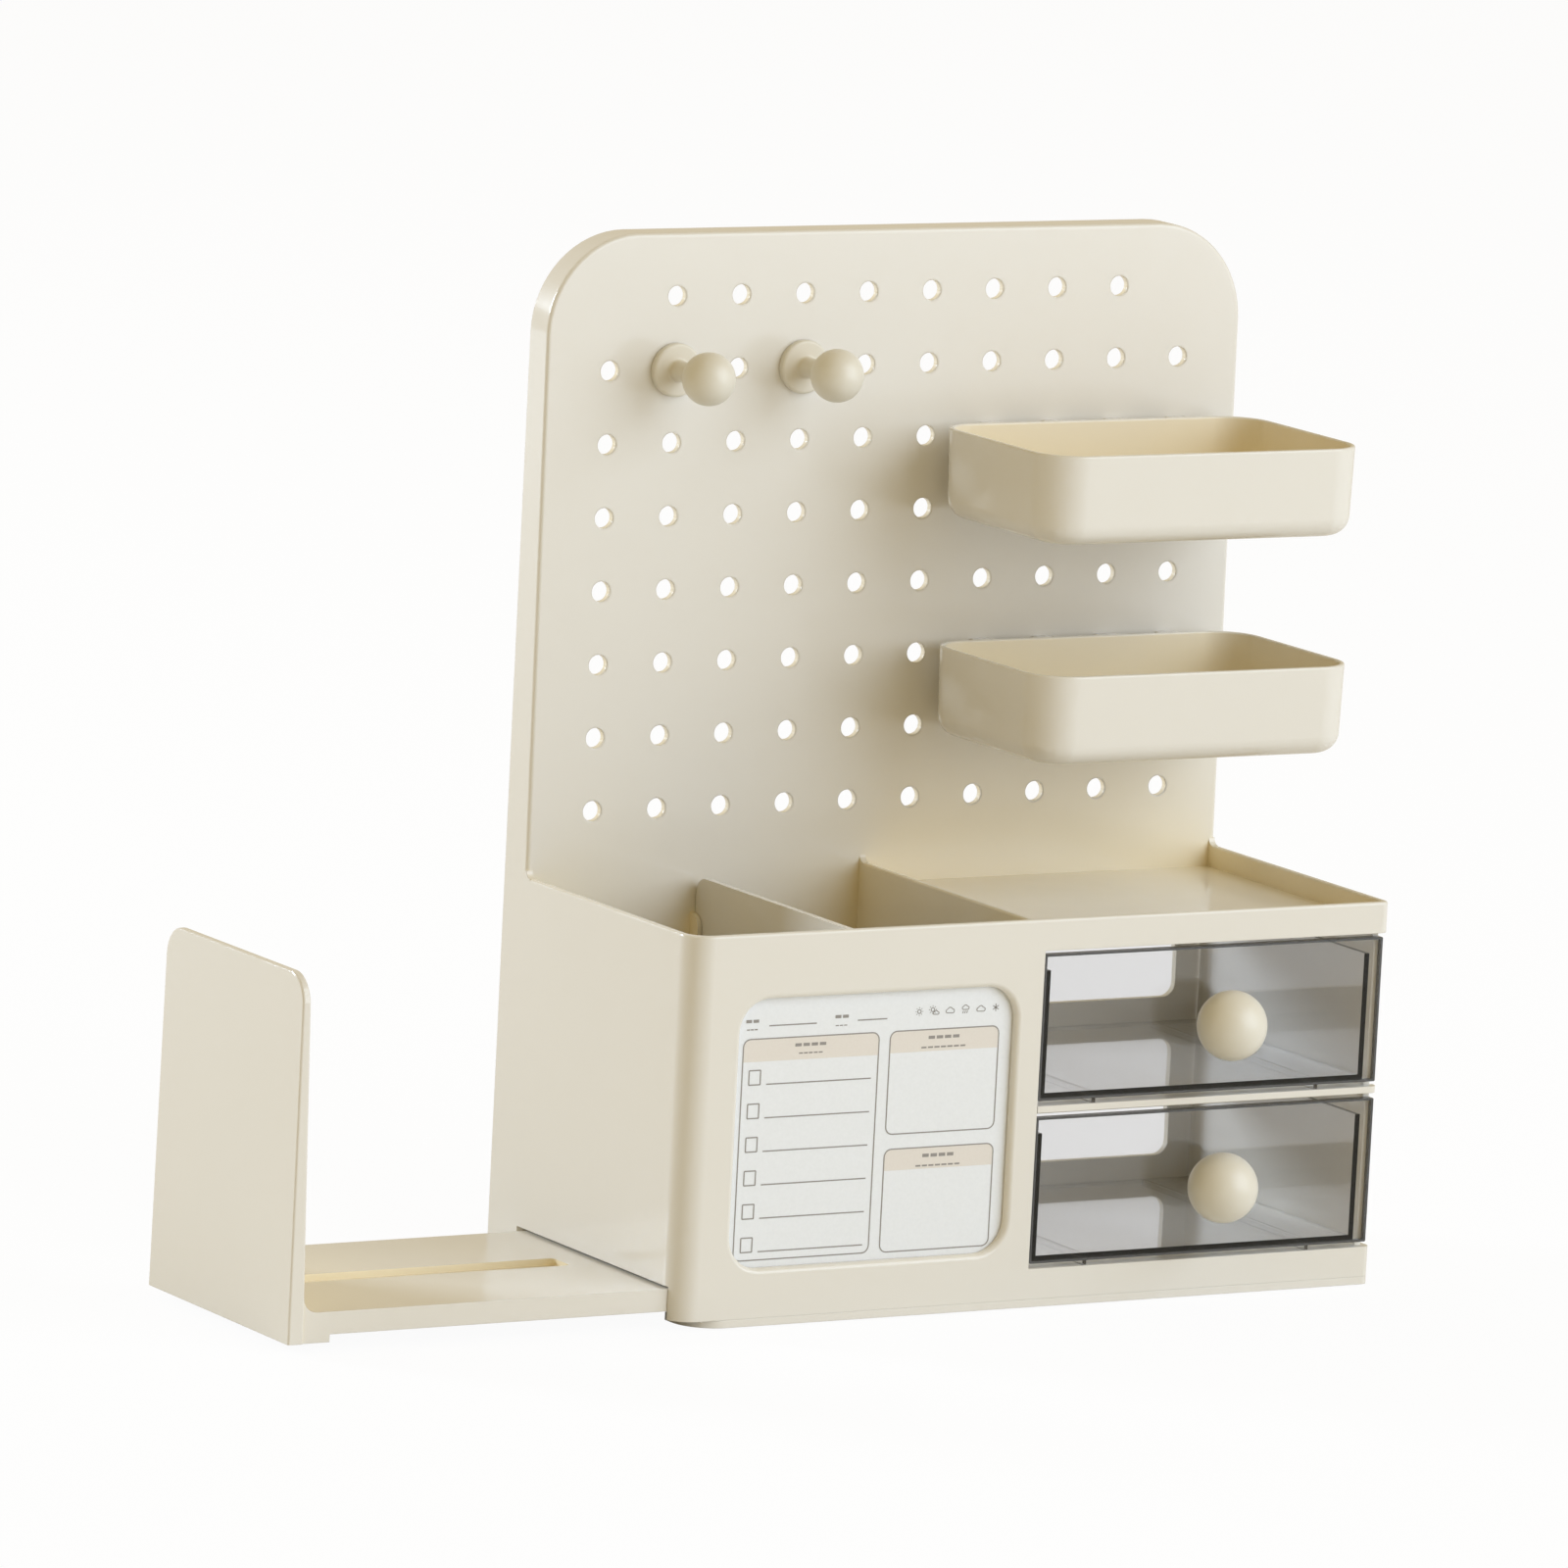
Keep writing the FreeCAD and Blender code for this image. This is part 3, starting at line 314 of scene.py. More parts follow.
@dataclass(frozen=True)
class MouldedPlastic:
    """Opaque moulded plastic whose colour is mixed towards a painted shade colour where little
    light reaches: painted bounce light in recesses.
    """

    name: str
    open_colour: Colour
    # Colour painted into recesses by ambient occlusion: painted shade and bounce light, not a
    # colour of the plastic.
    painted_shade_colour: Colour
    roughness: float = 0.15
    roughness_spread: float = 0.05
    cloud: float = 0.02
    relief: float = 0.05
    relief_depth: float = 0.0002
    edge: float = 0.00035
    reach: float = 0.08
    ior: float = 1.5

    def material(self, groups: ShaderGroups) -> Material:
        """Build the material.

        Args:
            groups: Shared shader groups.

        Returns:
            The finished material.
        """
        tree, shader, material = new_material(self.name)
        # Ambient occlusion that masks the painted shade colour into recesses.
        painted_shade_mask = add_node(tree, "ShaderNodeAmbientOcclusion", {"Distance": self.reach},
                          samples=12, only_local=True)
        skin = add_skin(tree, groups.moulded, {
            "Openness": painted_shade_mask.outputs["AO"], "Open Colour": self.open_colour,
            "Painted Shade Colour": self.painted_shade_colour, "Cloud": self.cloud, "Roughness": self.roughness,
            "Roughness Spread": self.roughness_spread})
        feed(tree, shader, {"Base Color": skin["Colour"], "Roughness": skin["Roughness"],
                            "IOR": self.ior})
        add_relief(tree, shader, skin["Height"], self.relief, self.relief_depth, self.edge)
        return material


@dataclass(frozen=True)
class SmokedPlastic:
    """Polished see-through plastic with a grey body."""

    name: str
    colour: Colour
    body_colour: Colour
    density: float
    roughness: float
    shade: Colour = rgb(0.99, 0.99, 0.99)
    ior: float = 1.49
    relief: float = 0.02
    relief_depth: float = 0.0001

    def material(self, groups: ShaderGroups) -> Material:
        """Build the material.

        Args:
            groups: Shared shader groups.

        Returns:
            The finished material.
        """
        tree, shader, material = new_material(self.name)
        skin = add_skin(tree, groups.moulded,
                        {"Roughness": self.roughness, "Roughness Spread": self.roughness})
        feed(tree, shader, {"Roughness": skin["Roughness"], "Base Color": self.colour,
                            "Transmission Weight": 1.0, "IOR": self.ior})
        body = add_node(tree, "ShaderNodeVolumeAbsorption",
                        {"Color": self.body_colour, "Density": self.density})
        feed(tree, tree.nodes["Material Output"], {"Volume": body.outputs["Volume"]})
        add_relief(tree, shader, skin["Height"], self.relief, self.relief_depth, 0.0)
        self._pass_light(tree, shader)
        return material

    def _pass_light(self, tree: NodeTree, shader: Node) -> None:
        """Let lamps and bounced light through to what stands behind the plastic.

        Args:
            tree: Tree of the material.
            shader: Its Principled BSDF.
        """
        path = add_node(tree, "ShaderNodeLightPath", {}).outputs
        light = maths(tree, "MAXIMUM", path["Is Shadow Ray"], path["Is Diffuse Ray"])
        clear = add_node(tree, "ShaderNodeBsdfTransparent", {"Color": self.shade})
        mix = mix_shaders(tree, light, shader, clear)
        feed(tree, tree.nodes["Material Output"], {"Surface": mix.outputs[0]})


@dataclass(frozen=True)
class GrainedStock:
    """Card, ink, plated steel or rubber, told apart by their grain and shine."""

    name: str
    colour: Colour
    grain_colour: Colour
    grain_scale: float
    roughness: float
    roughness_spread: float = 0.1
    relief: float = 0.05
    relief_depth: float = 0.0001
    stretch: Triple = (1.0, 1.0, 1.0)
    metallic: float = 0.0
    edge: float = 0.0

    def material(self, groups: ShaderGroups) -> Material:
        """Build the material.

        Args:
            groups: Shared shader groups.

        Returns:
            The finished material.
        """
        tree, shader, material = new_material(self.name)
        skin = add_skin(tree, groups.fibre, {
            "Stretch": self.stretch, "Colour": self.colour, "Grain Colour": self.grain_colour,
            "Grain Scale": self.grain_scale, "Roughness": self.roughness,
            "Roughness Spread": self.roughness_spread})
        feed(tree, shader, {"Base Color": skin["Colour"], "Roughness": skin["Roughness"],
                            "Metallic": self.metallic})
        add_relief(tree, shader, skin["Height"], self.relief, self.relief_depth, self.edge)
        return material


class Finishes:
    """Every finish of the organizer, made once."""

    def __init__(self) -> None:
        """Build all materials."""
        groups = ShaderGroups()
        body_cream = rgb(0.735, 0.71, 0.66)
        # The cream's second colour is painted warm bounce light in its recesses.
        self.cream = MouldedPlastic("cream_gloss", body_cream,
                                    rgb(0.97, 0.83, 0.52)).material(groups)
        # Copy of the cream with a brighter painted shade colour: painted light inside the drawer
        # bay.
        self.cream_inside_painted_light = MouldedPlastic("cream_inside_painted_light", body_cream,
                                           rgb(0.98, 0.93, 0.80)).material(groups)
        # The knob's second colour is darker and warmer: painted shade where the neck meets the
        # ball and the drawer front.
        self.knob = MouldedPlastic(
            "cream_satin", rgb(0.72, 0.69, 0.61), rgb(0.66, 0.57, 0.41), roughness=0.36,
            roughness_spread=0.06, cloud=0.03, relief=0.12, edge=0.0003,
            reach=0.02).material(groups)
        self.smoked = SmokedPlastic(
            "smoked_polished", rgb(0.88, 0.88, 0.885), rgb(0.52, 0.51, 0.49), density=8.0,
            roughness=0.02).material(groups)
        # Near-black stock for a frame inside each drawer front's rim: painted shade standing in
        # for the darkness seen along the thick plastic.
        self.painted_dark_edge = GrainedStock(
            "painted_dark_edge", rgb(0.035, 0.034, 0.033), rgb(0.05, 0.048, 0.045),
            grain_scale=800.0, roughness=0.2).material(groups)
        self.card = GrainedStock(
            "memo_stock", rgb(0.79, 0.81, 0.84), rgb(0.73, 0.75, 0.78), grain_scale=900.0,
            roughness=0.62, roughness_spread=0.12, relief=0.15).material(groups)
        self.ink = GrainedStock(
            "ruled_ink", rgb(0.30, 0.28, 0.26), rgb(0.24, 0.225, 0.21), grain_scale=1500.0,
            roughness=0.55).material(groups)
        self.tint = GrainedStock(
            "heading_tint", rgb(0.73, 0.69, 0.64), rgb(0.69, 0.64, 0.59), grain_scale=1200.0,
            roughness=0.6).material(groups)
        self.steel = GrainedStock(
            "zinc_plated", rgb(0.62, 0.62, 0.63), rgb(0.5, 0.5, 0.52), grain_scale=700.0,
            roughness=0.26, roughness_spread=0.2, relief=0.2, stretch=(1.0, 1.0, 0.2),
            metallic=1.0, edge=0.0002).material(groups)
        self.rubber = GrainedStock(
            "pad_rubber", rgb(0.32, 0.30, 0.27), rgb(0.26, 0.245, 0.22), grain_scale=600.0,
            roughness=0.75, roughness_spread=0.15, relief=0.4, edge=0.0002).material(groups)


# ---- meshes
WELD, SLIVER = 2e-6, 1e-7
"""Distances within which corners are joined and slivers dissolved."""


def link_mesh(name: str, mesh: Mesh, material: Material) -> Object:
    """Object at the origin with one material.

    Args:
        name: Name of the piece.
        mesh: Its mesh, already in place.
        material: Its finish.

    Returns:
        The new object.
    """
    mesh.materials.clear()
    mesh.materials.append(material)
    piece = bpy.data.objects.new(name, mesh)
    bpy.context.scene.collection.objects.link(piece)
    return piece


def smooth_corners(mesh: Mesh, sharp_deg: float) -> None:
    """Smooth each corner over the faces round it that lean alike, large faces first.

    Args:
        mesh: Mesh to work in.
        sharp_deg: Faces that lean apart by more than this are kept apart.
    """
    limit = math.cos(math.radians(sharp_deg))
    round_vertex: list[list[Vector]] = [[] for _ in mesh.vertices]
    for face in mesh.polygons:
        for index in face.vertices:
            round_vertex[index].append(face.normal * face.area)
    normals = []
    for face in mesh.polygons:
        for index in face.vertices:
            total = Vector(face.normal) * 1e-12
            for weighted in round_vertex[index]:
                if weighted.dot(face.normal) > limit * weighted.length:
                    total += weighted
            normals.append(total.normalized())
    mesh.normals_split_custom_set(normals)


def smooth_copy(frame: dict, node: str, name: str, material: Material,
                sharp_deg: float) -> Object:
    """Closed, smoothly shaded copy of a CAD node.

    Args:
        frame: The loaded frame.
        node: Name of the CAD node.
        name: Name of the new piece.
        material: Its finish.
        sharp_deg: Edges bent by more than this stay sharp.

    Returns:
        The new piece.
    """
    source = frame["nodes"][node]
    mesh = source.data.copy()
    mesh.transform(source.matrix_world)
    work = bmesh.new()
    work.from_mesh(mesh)
    bmesh.ops.remove_doubles(work, verts=work.verts, dist=WELD)
    bmesh.ops.dissolve_degenerate(work, edges=work.edges, dist=SLIVER)
    work.to_mesh(mesh)
    work.free()
    mesh.shade_smooth()
    smooth_corners(mesh, sharp_deg)
    return link_mesh(name, mesh, material)


def turned_mesh(name: str, profile: Sequence[Point], centre: Vector, steps: int,
                sharp_deg: float, closed: bool = False) -> Mesh:
    """Shape turned round an axis that runs forward, along -Y.

    Args:
        name: Name of the mesh.
        profile: Points (distance forward of the centre, radius).
        centre: Where the axis starts.
        steps: Faces round the axis.
        sharp_deg: Edges bent by more than this stay sharp.
        closed: Whether the profile runs back to its start, and not from pole to pole.

    Returns:
        The closed mesh, smoothly shaded, with its faces outwards.
    """
    work = bmesh.new()
    rings = []
    for ahead, radius in profile:
        angles = [math.tau * k / steps for k in range(steps)] if radius > 0.0 else [0.0]
        rings.append([work.verts.new((centre.x + radius * math.cos(a), centre.y - ahead,
                                      centre.z + radius * math.sin(a))) for a in angles])
    for low, high in zip(rings, rings[1:] + rings[:1] if closed else rings[1:]):
        for k in range(steps):
            after = (k + 1) % steps
            corners = (low[k % len(low)], low[after % len(low)],
                       high[after % len(high)], high[k % len(high)])
            work.faces.new(list(dict.fromkeys(corners)))
    bmesh.ops.recalc_face_normals(work, faces=work.faces)
    mesh = bpy.data.meshes.new(name)
    work.to_mesh(mesh)
    work.free()
    mesh.shade_smooth()
    mesh.set_sharp_from_angle(angle=math.radians(sharp_deg))
    return mesh


def settle(piece: Object, body: Body, slot: Slot, *nodes: str) -> None:
    """Put a finished piece on its body and hide the CAD nodes that it stands for.

    Args:
        piece: The finished piece.
        body: Body that it rides on.
        slot: Material slot of the record; not used.
        nodes: CAD nodes that it stands for.
    """
    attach(piece, body.value)
    if nodes:
        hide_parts(*nodes)
    LOG.info("%s: %d faces on %s", piece.name, len(piece.data.polygons), body.value)


# ---- flat print
def rounded_loop(box: Box, radius: float, steps: int = 5) -> list[Point]:
    """Outline of a rounded rectangle.

    Args:
        box: The rectangle.
        radius: Corner radius.
        steps: Segments in each corner.

    Returns:
        Points in order round the outline.
    """
    x0, x1, z0, z1 = box
    loop = []
    for turn, (cx, cz) in enumerate(((x1 - radius, z1 - radius), (x0 + radius, z1 - radius),
                                     (x0 + radius, z0 + radius), (x1 - radius, z0 + radius))):
        for k in range(steps + 1):
            angle = math.radians(90.0 * (turn + k / steps))
            loop.append((cx + radius * math.cos(angle), cz + radius * math.sin(angle)))
    return loop


class PrintLayer:
    """Thin closed slabs of one ink, gathered in one mesh that faces forward."""

    def __init__(self, face_y: float, depth: float) -> None:
        """Start an empty layer.

        Args:
            face_y: Plane that the ink lies on.
            depth: Thickness of the ink.
        """
        self.work = bmesh.new()
        self.back_y = face_y
        self.front_y = face_y - depth

    def slab(self, outer: Sequence[Point], inner: Sequence[Point] = ()) -> None:
        """Add one closed shape.

        Args:
            outer: Outline.
            inner: Outline of a hole with as many points, or nothing.
        """
        loops = [outer, inner] if inner else [outer]
        fronts = [[self.work.verts.new((x, self.front_y, z)) for x, z in loop] for loop in loops]
        backs = [[self.work.verts.new((x, self.back_y, z)) for x, z in loop] for loop in loops]
        count = len(outer)
        faces = []
        for k in range(count):
            after = (k + 1) % count
            for front, back in zip(fronts, backs):
                faces.append(self.work.faces.new((front[k], front[after], back[after], back[k])))
            if inner:
                for level in (fronts, backs):
                    faces.append(self.work.faces.new((level[0][k], level[0][after],
                                                      level[1][after], level[1][k])))
        if not inner:
            faces.append(self.work.faces.new(fronts[0]))
            faces.append(self.work.faces.new(list(reversed(backs[0]))))
        bmesh.ops.recalc_face_normals(self.work, faces=faces)

    def bar(self, box: Box) -> None:
        """Filled rectangle."""
        x0, x1, z0, z1 = box
        self.slab([(x0, z0), (x1, z0), (x1, z1), (x0, z1)])

    def stroke(self, start: Point, end: Point, width: float) -> None:
        """Straight stroke.

        Args:
            start: First end.
            end: Second end.
            width: Width of the stroke.
        """
        along = Vector((end[0] - start[0], end[1] - start[1])).normalized() * width / 2.0
        side = (-along[1], along[0])
        self.slab([(start[0] + side[0], start[1] + side[1]),
                   (start[0] - side[0], start[1] - side[1]),
                   (end[0] - side[0], end[1] - side[1]), (end[0] + side[0], end[1] + side[1])])

    def frame(self, box: Box, radius: float, width: float) -> None:
        """Outlined rounded rectangle.

        Args:
            box: The rectangle.
            radius: Outer corner radius.
            width: Width of the line.
        """
        x0, x1, z0, z1 = box
        inside = (x0 + width, x1 - width, z0 + width, z1 - width)
        self.slab(rounded_loop(box, radius),
                  rounded_loop(inside, max(radius - width, width / 4.0)))

    def ring(self, centre: Point, radius: float, width: float, steps: int = 20) -> None:
        """Outlined circle.

        Args:
            centre: Its centre.
            radius: Outer radius.
            width: Width of the line.
            steps: Segments round it.
        """
        x, z = centre
        self.slab(*[[(x + arm * math.cos(math.tau * k / steps),
                      z + arm * math.sin(math.tau * k / steps)) for k in range(steps)]
                    for arm in (radius, radius - width)])

    def mesh(self, name: str) -> Mesh:
        """Close the layer and return its mesh."""
        mesh = bpy.data.meshes.new(name)
        self.work.to_mesh(mesh)
        self.work.free()
        return mesh


# ---- geometry trees
def close_tree(tree: NodeTree, points: NodeSocket) -> None:
    """Set the input shape on every point, realize it and give it the material.

    Args:
        tree: Tree with a Material input.
        points: Socket with the points.
    """
    source = tree.nodes["Group Input"].outputs
    spread = add_node(tree, "GeometryNodeInstanceOnPoints",
                      {"Points": points, "Instance": source["Geometry"]})
    real = add_node(tree, "GeometryNodeRealizeInstances",
                    {"Geometry": spread.outputs["Instances"]})
    paint = add_node(tree, "GeometryNodeSetMaterial",
                     {"Geometry": real.outputs["Geometry"], "Material": source["Material"]})
    feed(tree, tree.nodes["Group Output"], {"Geometry": paint.outputs["Geometry"]})


def apply_tree(piece: Object, tree: NodeTree, values: dict[str, object],
               material: Material) -> None:
    """Run a geometry tree on a piece and keep the result as its mesh.

    Args:
        piece: Object with the shape that the tree repeats.
        tree: The tree.
        values: Value of each named input.
        material: Its finish.
    """
    modifier = piece.modifiers.new(tree.name, "NODES")
    modifier.node_group = tree
    for item in tree.interface.items_tree:
        if item.item_type == "SOCKET" and item.in_out == "INPUT" and item.name in values:
            modifier[item.identifier] = values[item.name]
    graph = bpy.context.evaluated_depsgraph_get()
    mesh = bpy.data.meshes.new_from_object(piece.evaluated_get(graph),
                                           preserve_all_data_layers=True, depsgraph=graph)
    piece.modifiers.clear()
    old = piece.data
    piece.data = mesh
    mesh.name = piece.name
    bpy.data.meshes.remove(old)
    mesh.materials.clear()
    mesh.materials.append(material)


# ---- sub-assemblies
@dataclass
class SubAssembly:
    """Pieces that are made together."""

    frame: dict
    finishes: Finishes

    def dress(self, node: str, name: str, material: Material, body: Body, slot: Slot,
              sharp_deg: float = 32.0) -> None:
        """Put a smooth copy of a CAD node on its body, in the node's place."""
        settle(smooth_copy(self.frame, node, name, material, sharp_deg), body, slot, node)


@dataclass
class Housing(SubAssembly):
    """Main moulding with its fixed pieces, and a rounded lip in every peg hole."""

    hole_pitch: float = 0.025
    hole_columns: int = 10
    hole_rows: int = 8
    hole_radius: float = 0.00345
    lip_width: float = 0.00043
    lip_steps: int = 40
    lip_sharp_deg: float = 50.0
    arc_steps: int = 6
    top_row_z: float = 0.3304
    top_row_y: float = 0.0528
    lean_deg: float = 0.93

    def build(self) -> None:
        """Make and dress the pieces."""
        # The drawer cabinet takes the copy of the cream with brighter painted light in its
        # recesses.
        cream, inside = self.finishes.cream, self.finishes.cream_inside_painted_light
        for node, finish in (("main_housing", cream), ("drawer_cabinet", inside),
                             ("middle_shelf", cream), ("memo_backing", cream),
                             ("bottom_cover", cream)):
            self.dress(node, node + "_skin", finish, Body.HOUSING, Slot.CREAM)
        self._lips()

    def _lip_mesh(self) -> Mesh:
        """One convex lip that fills the chamfer of a hole, at the origin, facing -Y."""
        inner = self.hole_radius
        width = self.lip_width
        turns = [math.radians(90.0 / self.arc_steps * k) for k in range(self.arc_steps + 1)]
        profile = [(width * (math.cos(a) - 1.0), inner + width * (1.0 - math.sin(a)))
                   for a in turns]
        return turned_mesh("peg_hole_lips", profile + [(-width, inner + width)], Vector(),
                           self.lip_steps, self.lip_sharp_deg, closed=True)

    def _lip_tree(self) -> NodeTree:
        """Grid of points on the leaning face, without the two top corners.

        Returns:
            The tree, with inputs for the counts, the pitch, the lean and the top row.
        """
        tree = new_tree("peg_hole_grid", "GeometryNodeTree", [
            ("Geometry", "Geometry"), ("Columns", "Int"), ("Rows", "Int"), ("Pitch", "Float"),
            ("Lean", "Float"), ("Top", "Vector"), ("Material", "Material")],
            [("Geometry", "Geometry")])
        source = tree.nodes["Group Input"].outputs
        width, height = [maths(tree, "MULTIPLY", maths(tree, "SUBTRACT", source[count], 1.0),
                               source["Pitch"]) for count in ("Columns", "Rows")]
        grid = add_node(tree, "GeometryNodeMeshGrid",
                        {"Size X": width, "Size Y": height, "Vertices X": source["Columns"],
                         "Vertices Y": source["Rows"]})
        place = add_node(tree, "GeometryNodeInputPosition", {})
        split = add_node(tree, "ShaderNodeSeparateXYZ", {0: place.outputs[0]}).outputs
        half_pitch = maths(tree, "MULTIPLY", source["Pitch"], 0.5)
        half_width, half_height = [maths(tree, "MULTIPLY", size, 0.5) for size in (width, height)]
        outer = maths(tree, "GREATER_THAN", maths(tree, "ABSOLUTE", split["X"]),
                      maths(tree, "SUBTRACT", half_width, half_pitch))
        upper = maths(tree, "GREATER_THAN", split["Y"],
                      maths(tree, "SUBTRACT", half_height, half_pitch))
        drop = add_node(tree, "GeometryNodeDeleteGeometry",
                        {"Geometry": grid.outputs["Mesh"],
                         "Selection": maths(tree, "MULTIPLY", outer, upper)})
        down = maths(tree, "SUBTRACT", split["Y"], half_height)
        stand = add_node(tree, "ShaderNodeCombineXYZ",
                         {"X": split["X"], "Y": maths(tree, "MULTIPLY", down, source["Lean"]),
                          "Z": down})
        move = add_node(tree, "ShaderNodeVectorMath", {0: stand.outputs[0], 1: source["Top"]},
                        operation="ADD")
        lift = add_node(tree, "GeometryNodeSetPosition",
                        {"Geometry": drop.outputs["Geometry"], "Position": move.outputs[0]})
        close_tree(tree, lift.outputs["Geometry"])
        return tree

    def _lips(self) -> None:
        """Round lips in all peg holes, as one mesh."""
        cream = self.finishes.cream
        lips = link_mesh("peg_hole_lips", self._lip_mesh(), cream)
        apply_tree(lips, self._lip_tree(), {
            "Columns": self.hole_columns, "Rows": self.hole_rows, "Pitch": self.hole_pitch,
            "Lean": math.tan(math.radians(self.lean_deg)),
            "Top": (0.0, self.top_row_y, self.top_row_z), "Material": cream}, cream)
        settle(lips, Body.HOUSING, Slot.CREAM)


@dataclass
class Underside(SubAssembly):
    """Screws and pads below the cover."""

    def build(self) -> None:
        """Make and dress the pieces."""
        self.dress("cover_screws", "cover_screw_set", self.finishes.steel, Body.HOUSING,
                   Slot.STEEL)
        self.dress("foot_pads", "foot_pad_set", self.finishes.rubber, Body.HOUSING, Slot.RUBBER)


@dataclass
class DrawerUnit(SubAssembly):
    """One see-through drawer with its knob and knob screw."""

    level: str
    body: Body
    flat_deg: float = 1.0
    knob_radius: float = 0.012
    knob_standoff: float = 0.013
    knob_steps: int = 96
    knob_sharp_deg: float = 40.0
    ball_steps: int = 40
    neck_radius: float = 0.0045
    neck_flare: float = 0.0012
    flare_steps: int = 5
    front_thickness: float = 0.003
    foot_gap: float = 0.0017
    tab_rise: float = 0.0015
    edge_width: float = 0.0007
    edge_inset: float = 0.00008
    edge_corner: float = 0.0004

    def build(self) -> None:
        """Make and dress the pieces."""
        self.dress("drawer_" + self.level, "drawer_%s_clear" % self.level, self.finishes.smoked,
                   self.body, Slot.SMOKED, self.flat_deg)
        self.dress("knob_screw_" + self.level, "knob_screw_%s_plated" % self.level,
                   self.finishes.steel, self.body, Slot.STEEL)
        self._knob()
        self._front_edge()

    def _front_edge(self) -> None:
        """Painted dark line all round the front: painted shade standing in for the darkness where
        one looks along the thick plastic.
        """
        low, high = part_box("drawer_" + self.level)
        inset = self.edge_inset
        layer = PrintLayer(low.y + self.front_thickness - inset,
                           self.front_thickness - 2.0 * inset)
        layer.frame((low.x + inset, high.x - inset, low.z + self.foot_gap + inset,
                     high.z - self.tab_rise - inset), self.edge_corner, self.edge_width)
        edge = link_mesh("drawer_%s_edge" % self.level, layer.mesh("painted_front_edge"),
                         self.finishes.painted_dark_edge)
        settle(edge, self.body, Slot.SMOKED)

    def _knob(self) -> None:
        """Ball knob on a neck that flares onto the drawer's front."""
        low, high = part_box("knob_" + self.level)
        centre = Vector(((low.x + high.x) / 2.0, high.y, (low.z + high.z) / 2.0))
        flare = self.neck_flare
        profile = [(0.0, 0.0), (0.0, self.neck_radius + flare)]
        for k in range(1, self.flare_steps + 1):
            angle = math.radians(90.0 * k / self.flare_steps)
            profile.append((flare * math.sin(angle),
                            self.neck_radius + flare * (1.0 - math.sin(angle))
                            * math.cos(angle)))
        start = math.asin(self.neck_radius / self.knob_radius)
        for k in range(self.ball_steps):
            angle = start + (math.pi - start) * k / self.ball_steps
            profile.append((self.knob_standoff - self.knob_radius * math.cos(angle),
                            self.knob_radius * math.sin(angle)))
        profile.append((self.knob_standoff + self.knob_radius, 0.0))
        name = "ball_knob_" + self.level
        knob = turned_mesh(name, profile, centre, self.knob_steps, self.knob_sharp_deg)
        settle(link_mesh(name, knob, self.finishes.knob), self.body, Slot.KNOB,
               "knob_" + self.level)


@dataclass
class BookEnd(SubAssembly):
    """Sliding book end with its stop block and screws."""

    def build(self) -> None:
        """Make and dress the pieces."""
        for node, name, finish, slot in (
                ("bookend", "bookend_skin", self.finishes.cream, Slot.CREAM),
                ("bookend_stop", "bookend_stop_skin", self.finishes.cream, Slot.CREAM),
                ("stop_screws", "stop_screw_pair", self.finishes.steel, Slot.STEEL)):
            self.dress(node, name, finish, Body.BOOKEND, slot)


@dataclass
class Accessories(SubAssembly):
    """Hooks, hanging trays and the divider plate, each on its own body."""

    def build(self) -> None:
        """Make and dress the pieces."""
        cream, knob = self.finishes.cream, self.finishes.knob
        for node, name, finish, body, slot in (
                ("hook_left", "ball_hook_left", knob, Body.HOOK_LEFT, Slot.KNOB),
                ("hook_right", "ball_hook_right", knob, Body.HOOK_RIGHT, Slot.KNOB),
                ("tray_upper", "hanging_tray_upper", cream, Body.TRAY_UPPER, Slot.CREAM),
                ("tray_lower", "hanging_tray_lower", cream, Body.TRAY_LOWER, Slot.CREAM),
                ("divider_plate", "divider_skin", cream, Body.DIVIDER, Slot.CREAM)):
            self.dress(node, name, finish, body, slot)


@dataclass(frozen=True)
class Sign:
    """What one weather sign is drawn from.

    Attributes:
        x: Centre across.
        sun: Centre of a sun, from the sign's own.
        cloud: Foot of a cloud, from the sign's centre, and half the cloud's width.
        drops: Number of rain drops.
        arms: Number of strokes of a snow flake.
    """

    x: float
    sun: Point | None = None
    cloud: Triple | None = None
    drops: int = 0
    arms: int = 0


class Weather(Enum):
    """Small weather signs along the top of the card."""

    SUN = Sign(-0.0465, sun=(0.0, 0.0))
    FAIR = Sign(-0.0406, sun=(-0.0007, 0.0004), cloud=(0.0006, -0.0014, 0.0013))
    CLOUD = Sign(-0.0345, cloud=(0.0, -0.0012, 0.0018))
    RAIN = Sign(-0.0285, cloud=(0.0, -0.0003, 0.0015), drops=3)
    OVERCAST = Sign(-0.0225, cloud=(0.0, -0.0012, 0.0018))
    SNOW = Sign(-0.0167, arms=3)


PANELS: tuple[tuple[Box, float], ...] = (
    ((-0.1141, -0.0614, 0.0222, 0.0977), 0.0898), ((-0.0575, -0.0148, 0.0622, 0.0977), 0.0901),
    ((-0.0575, -0.0146, 0.0220, 0.0575), 0.0500))
"""The three ruled panels, each with the foot of its heading."""

FIELD_RULES: tuple[Triple, ...] = ((-0.1044, -0.0861, 0.1016), (-0.0703, -0.0589, 0.1018))
"""Left, right and lower edge of the rules for two fields."""

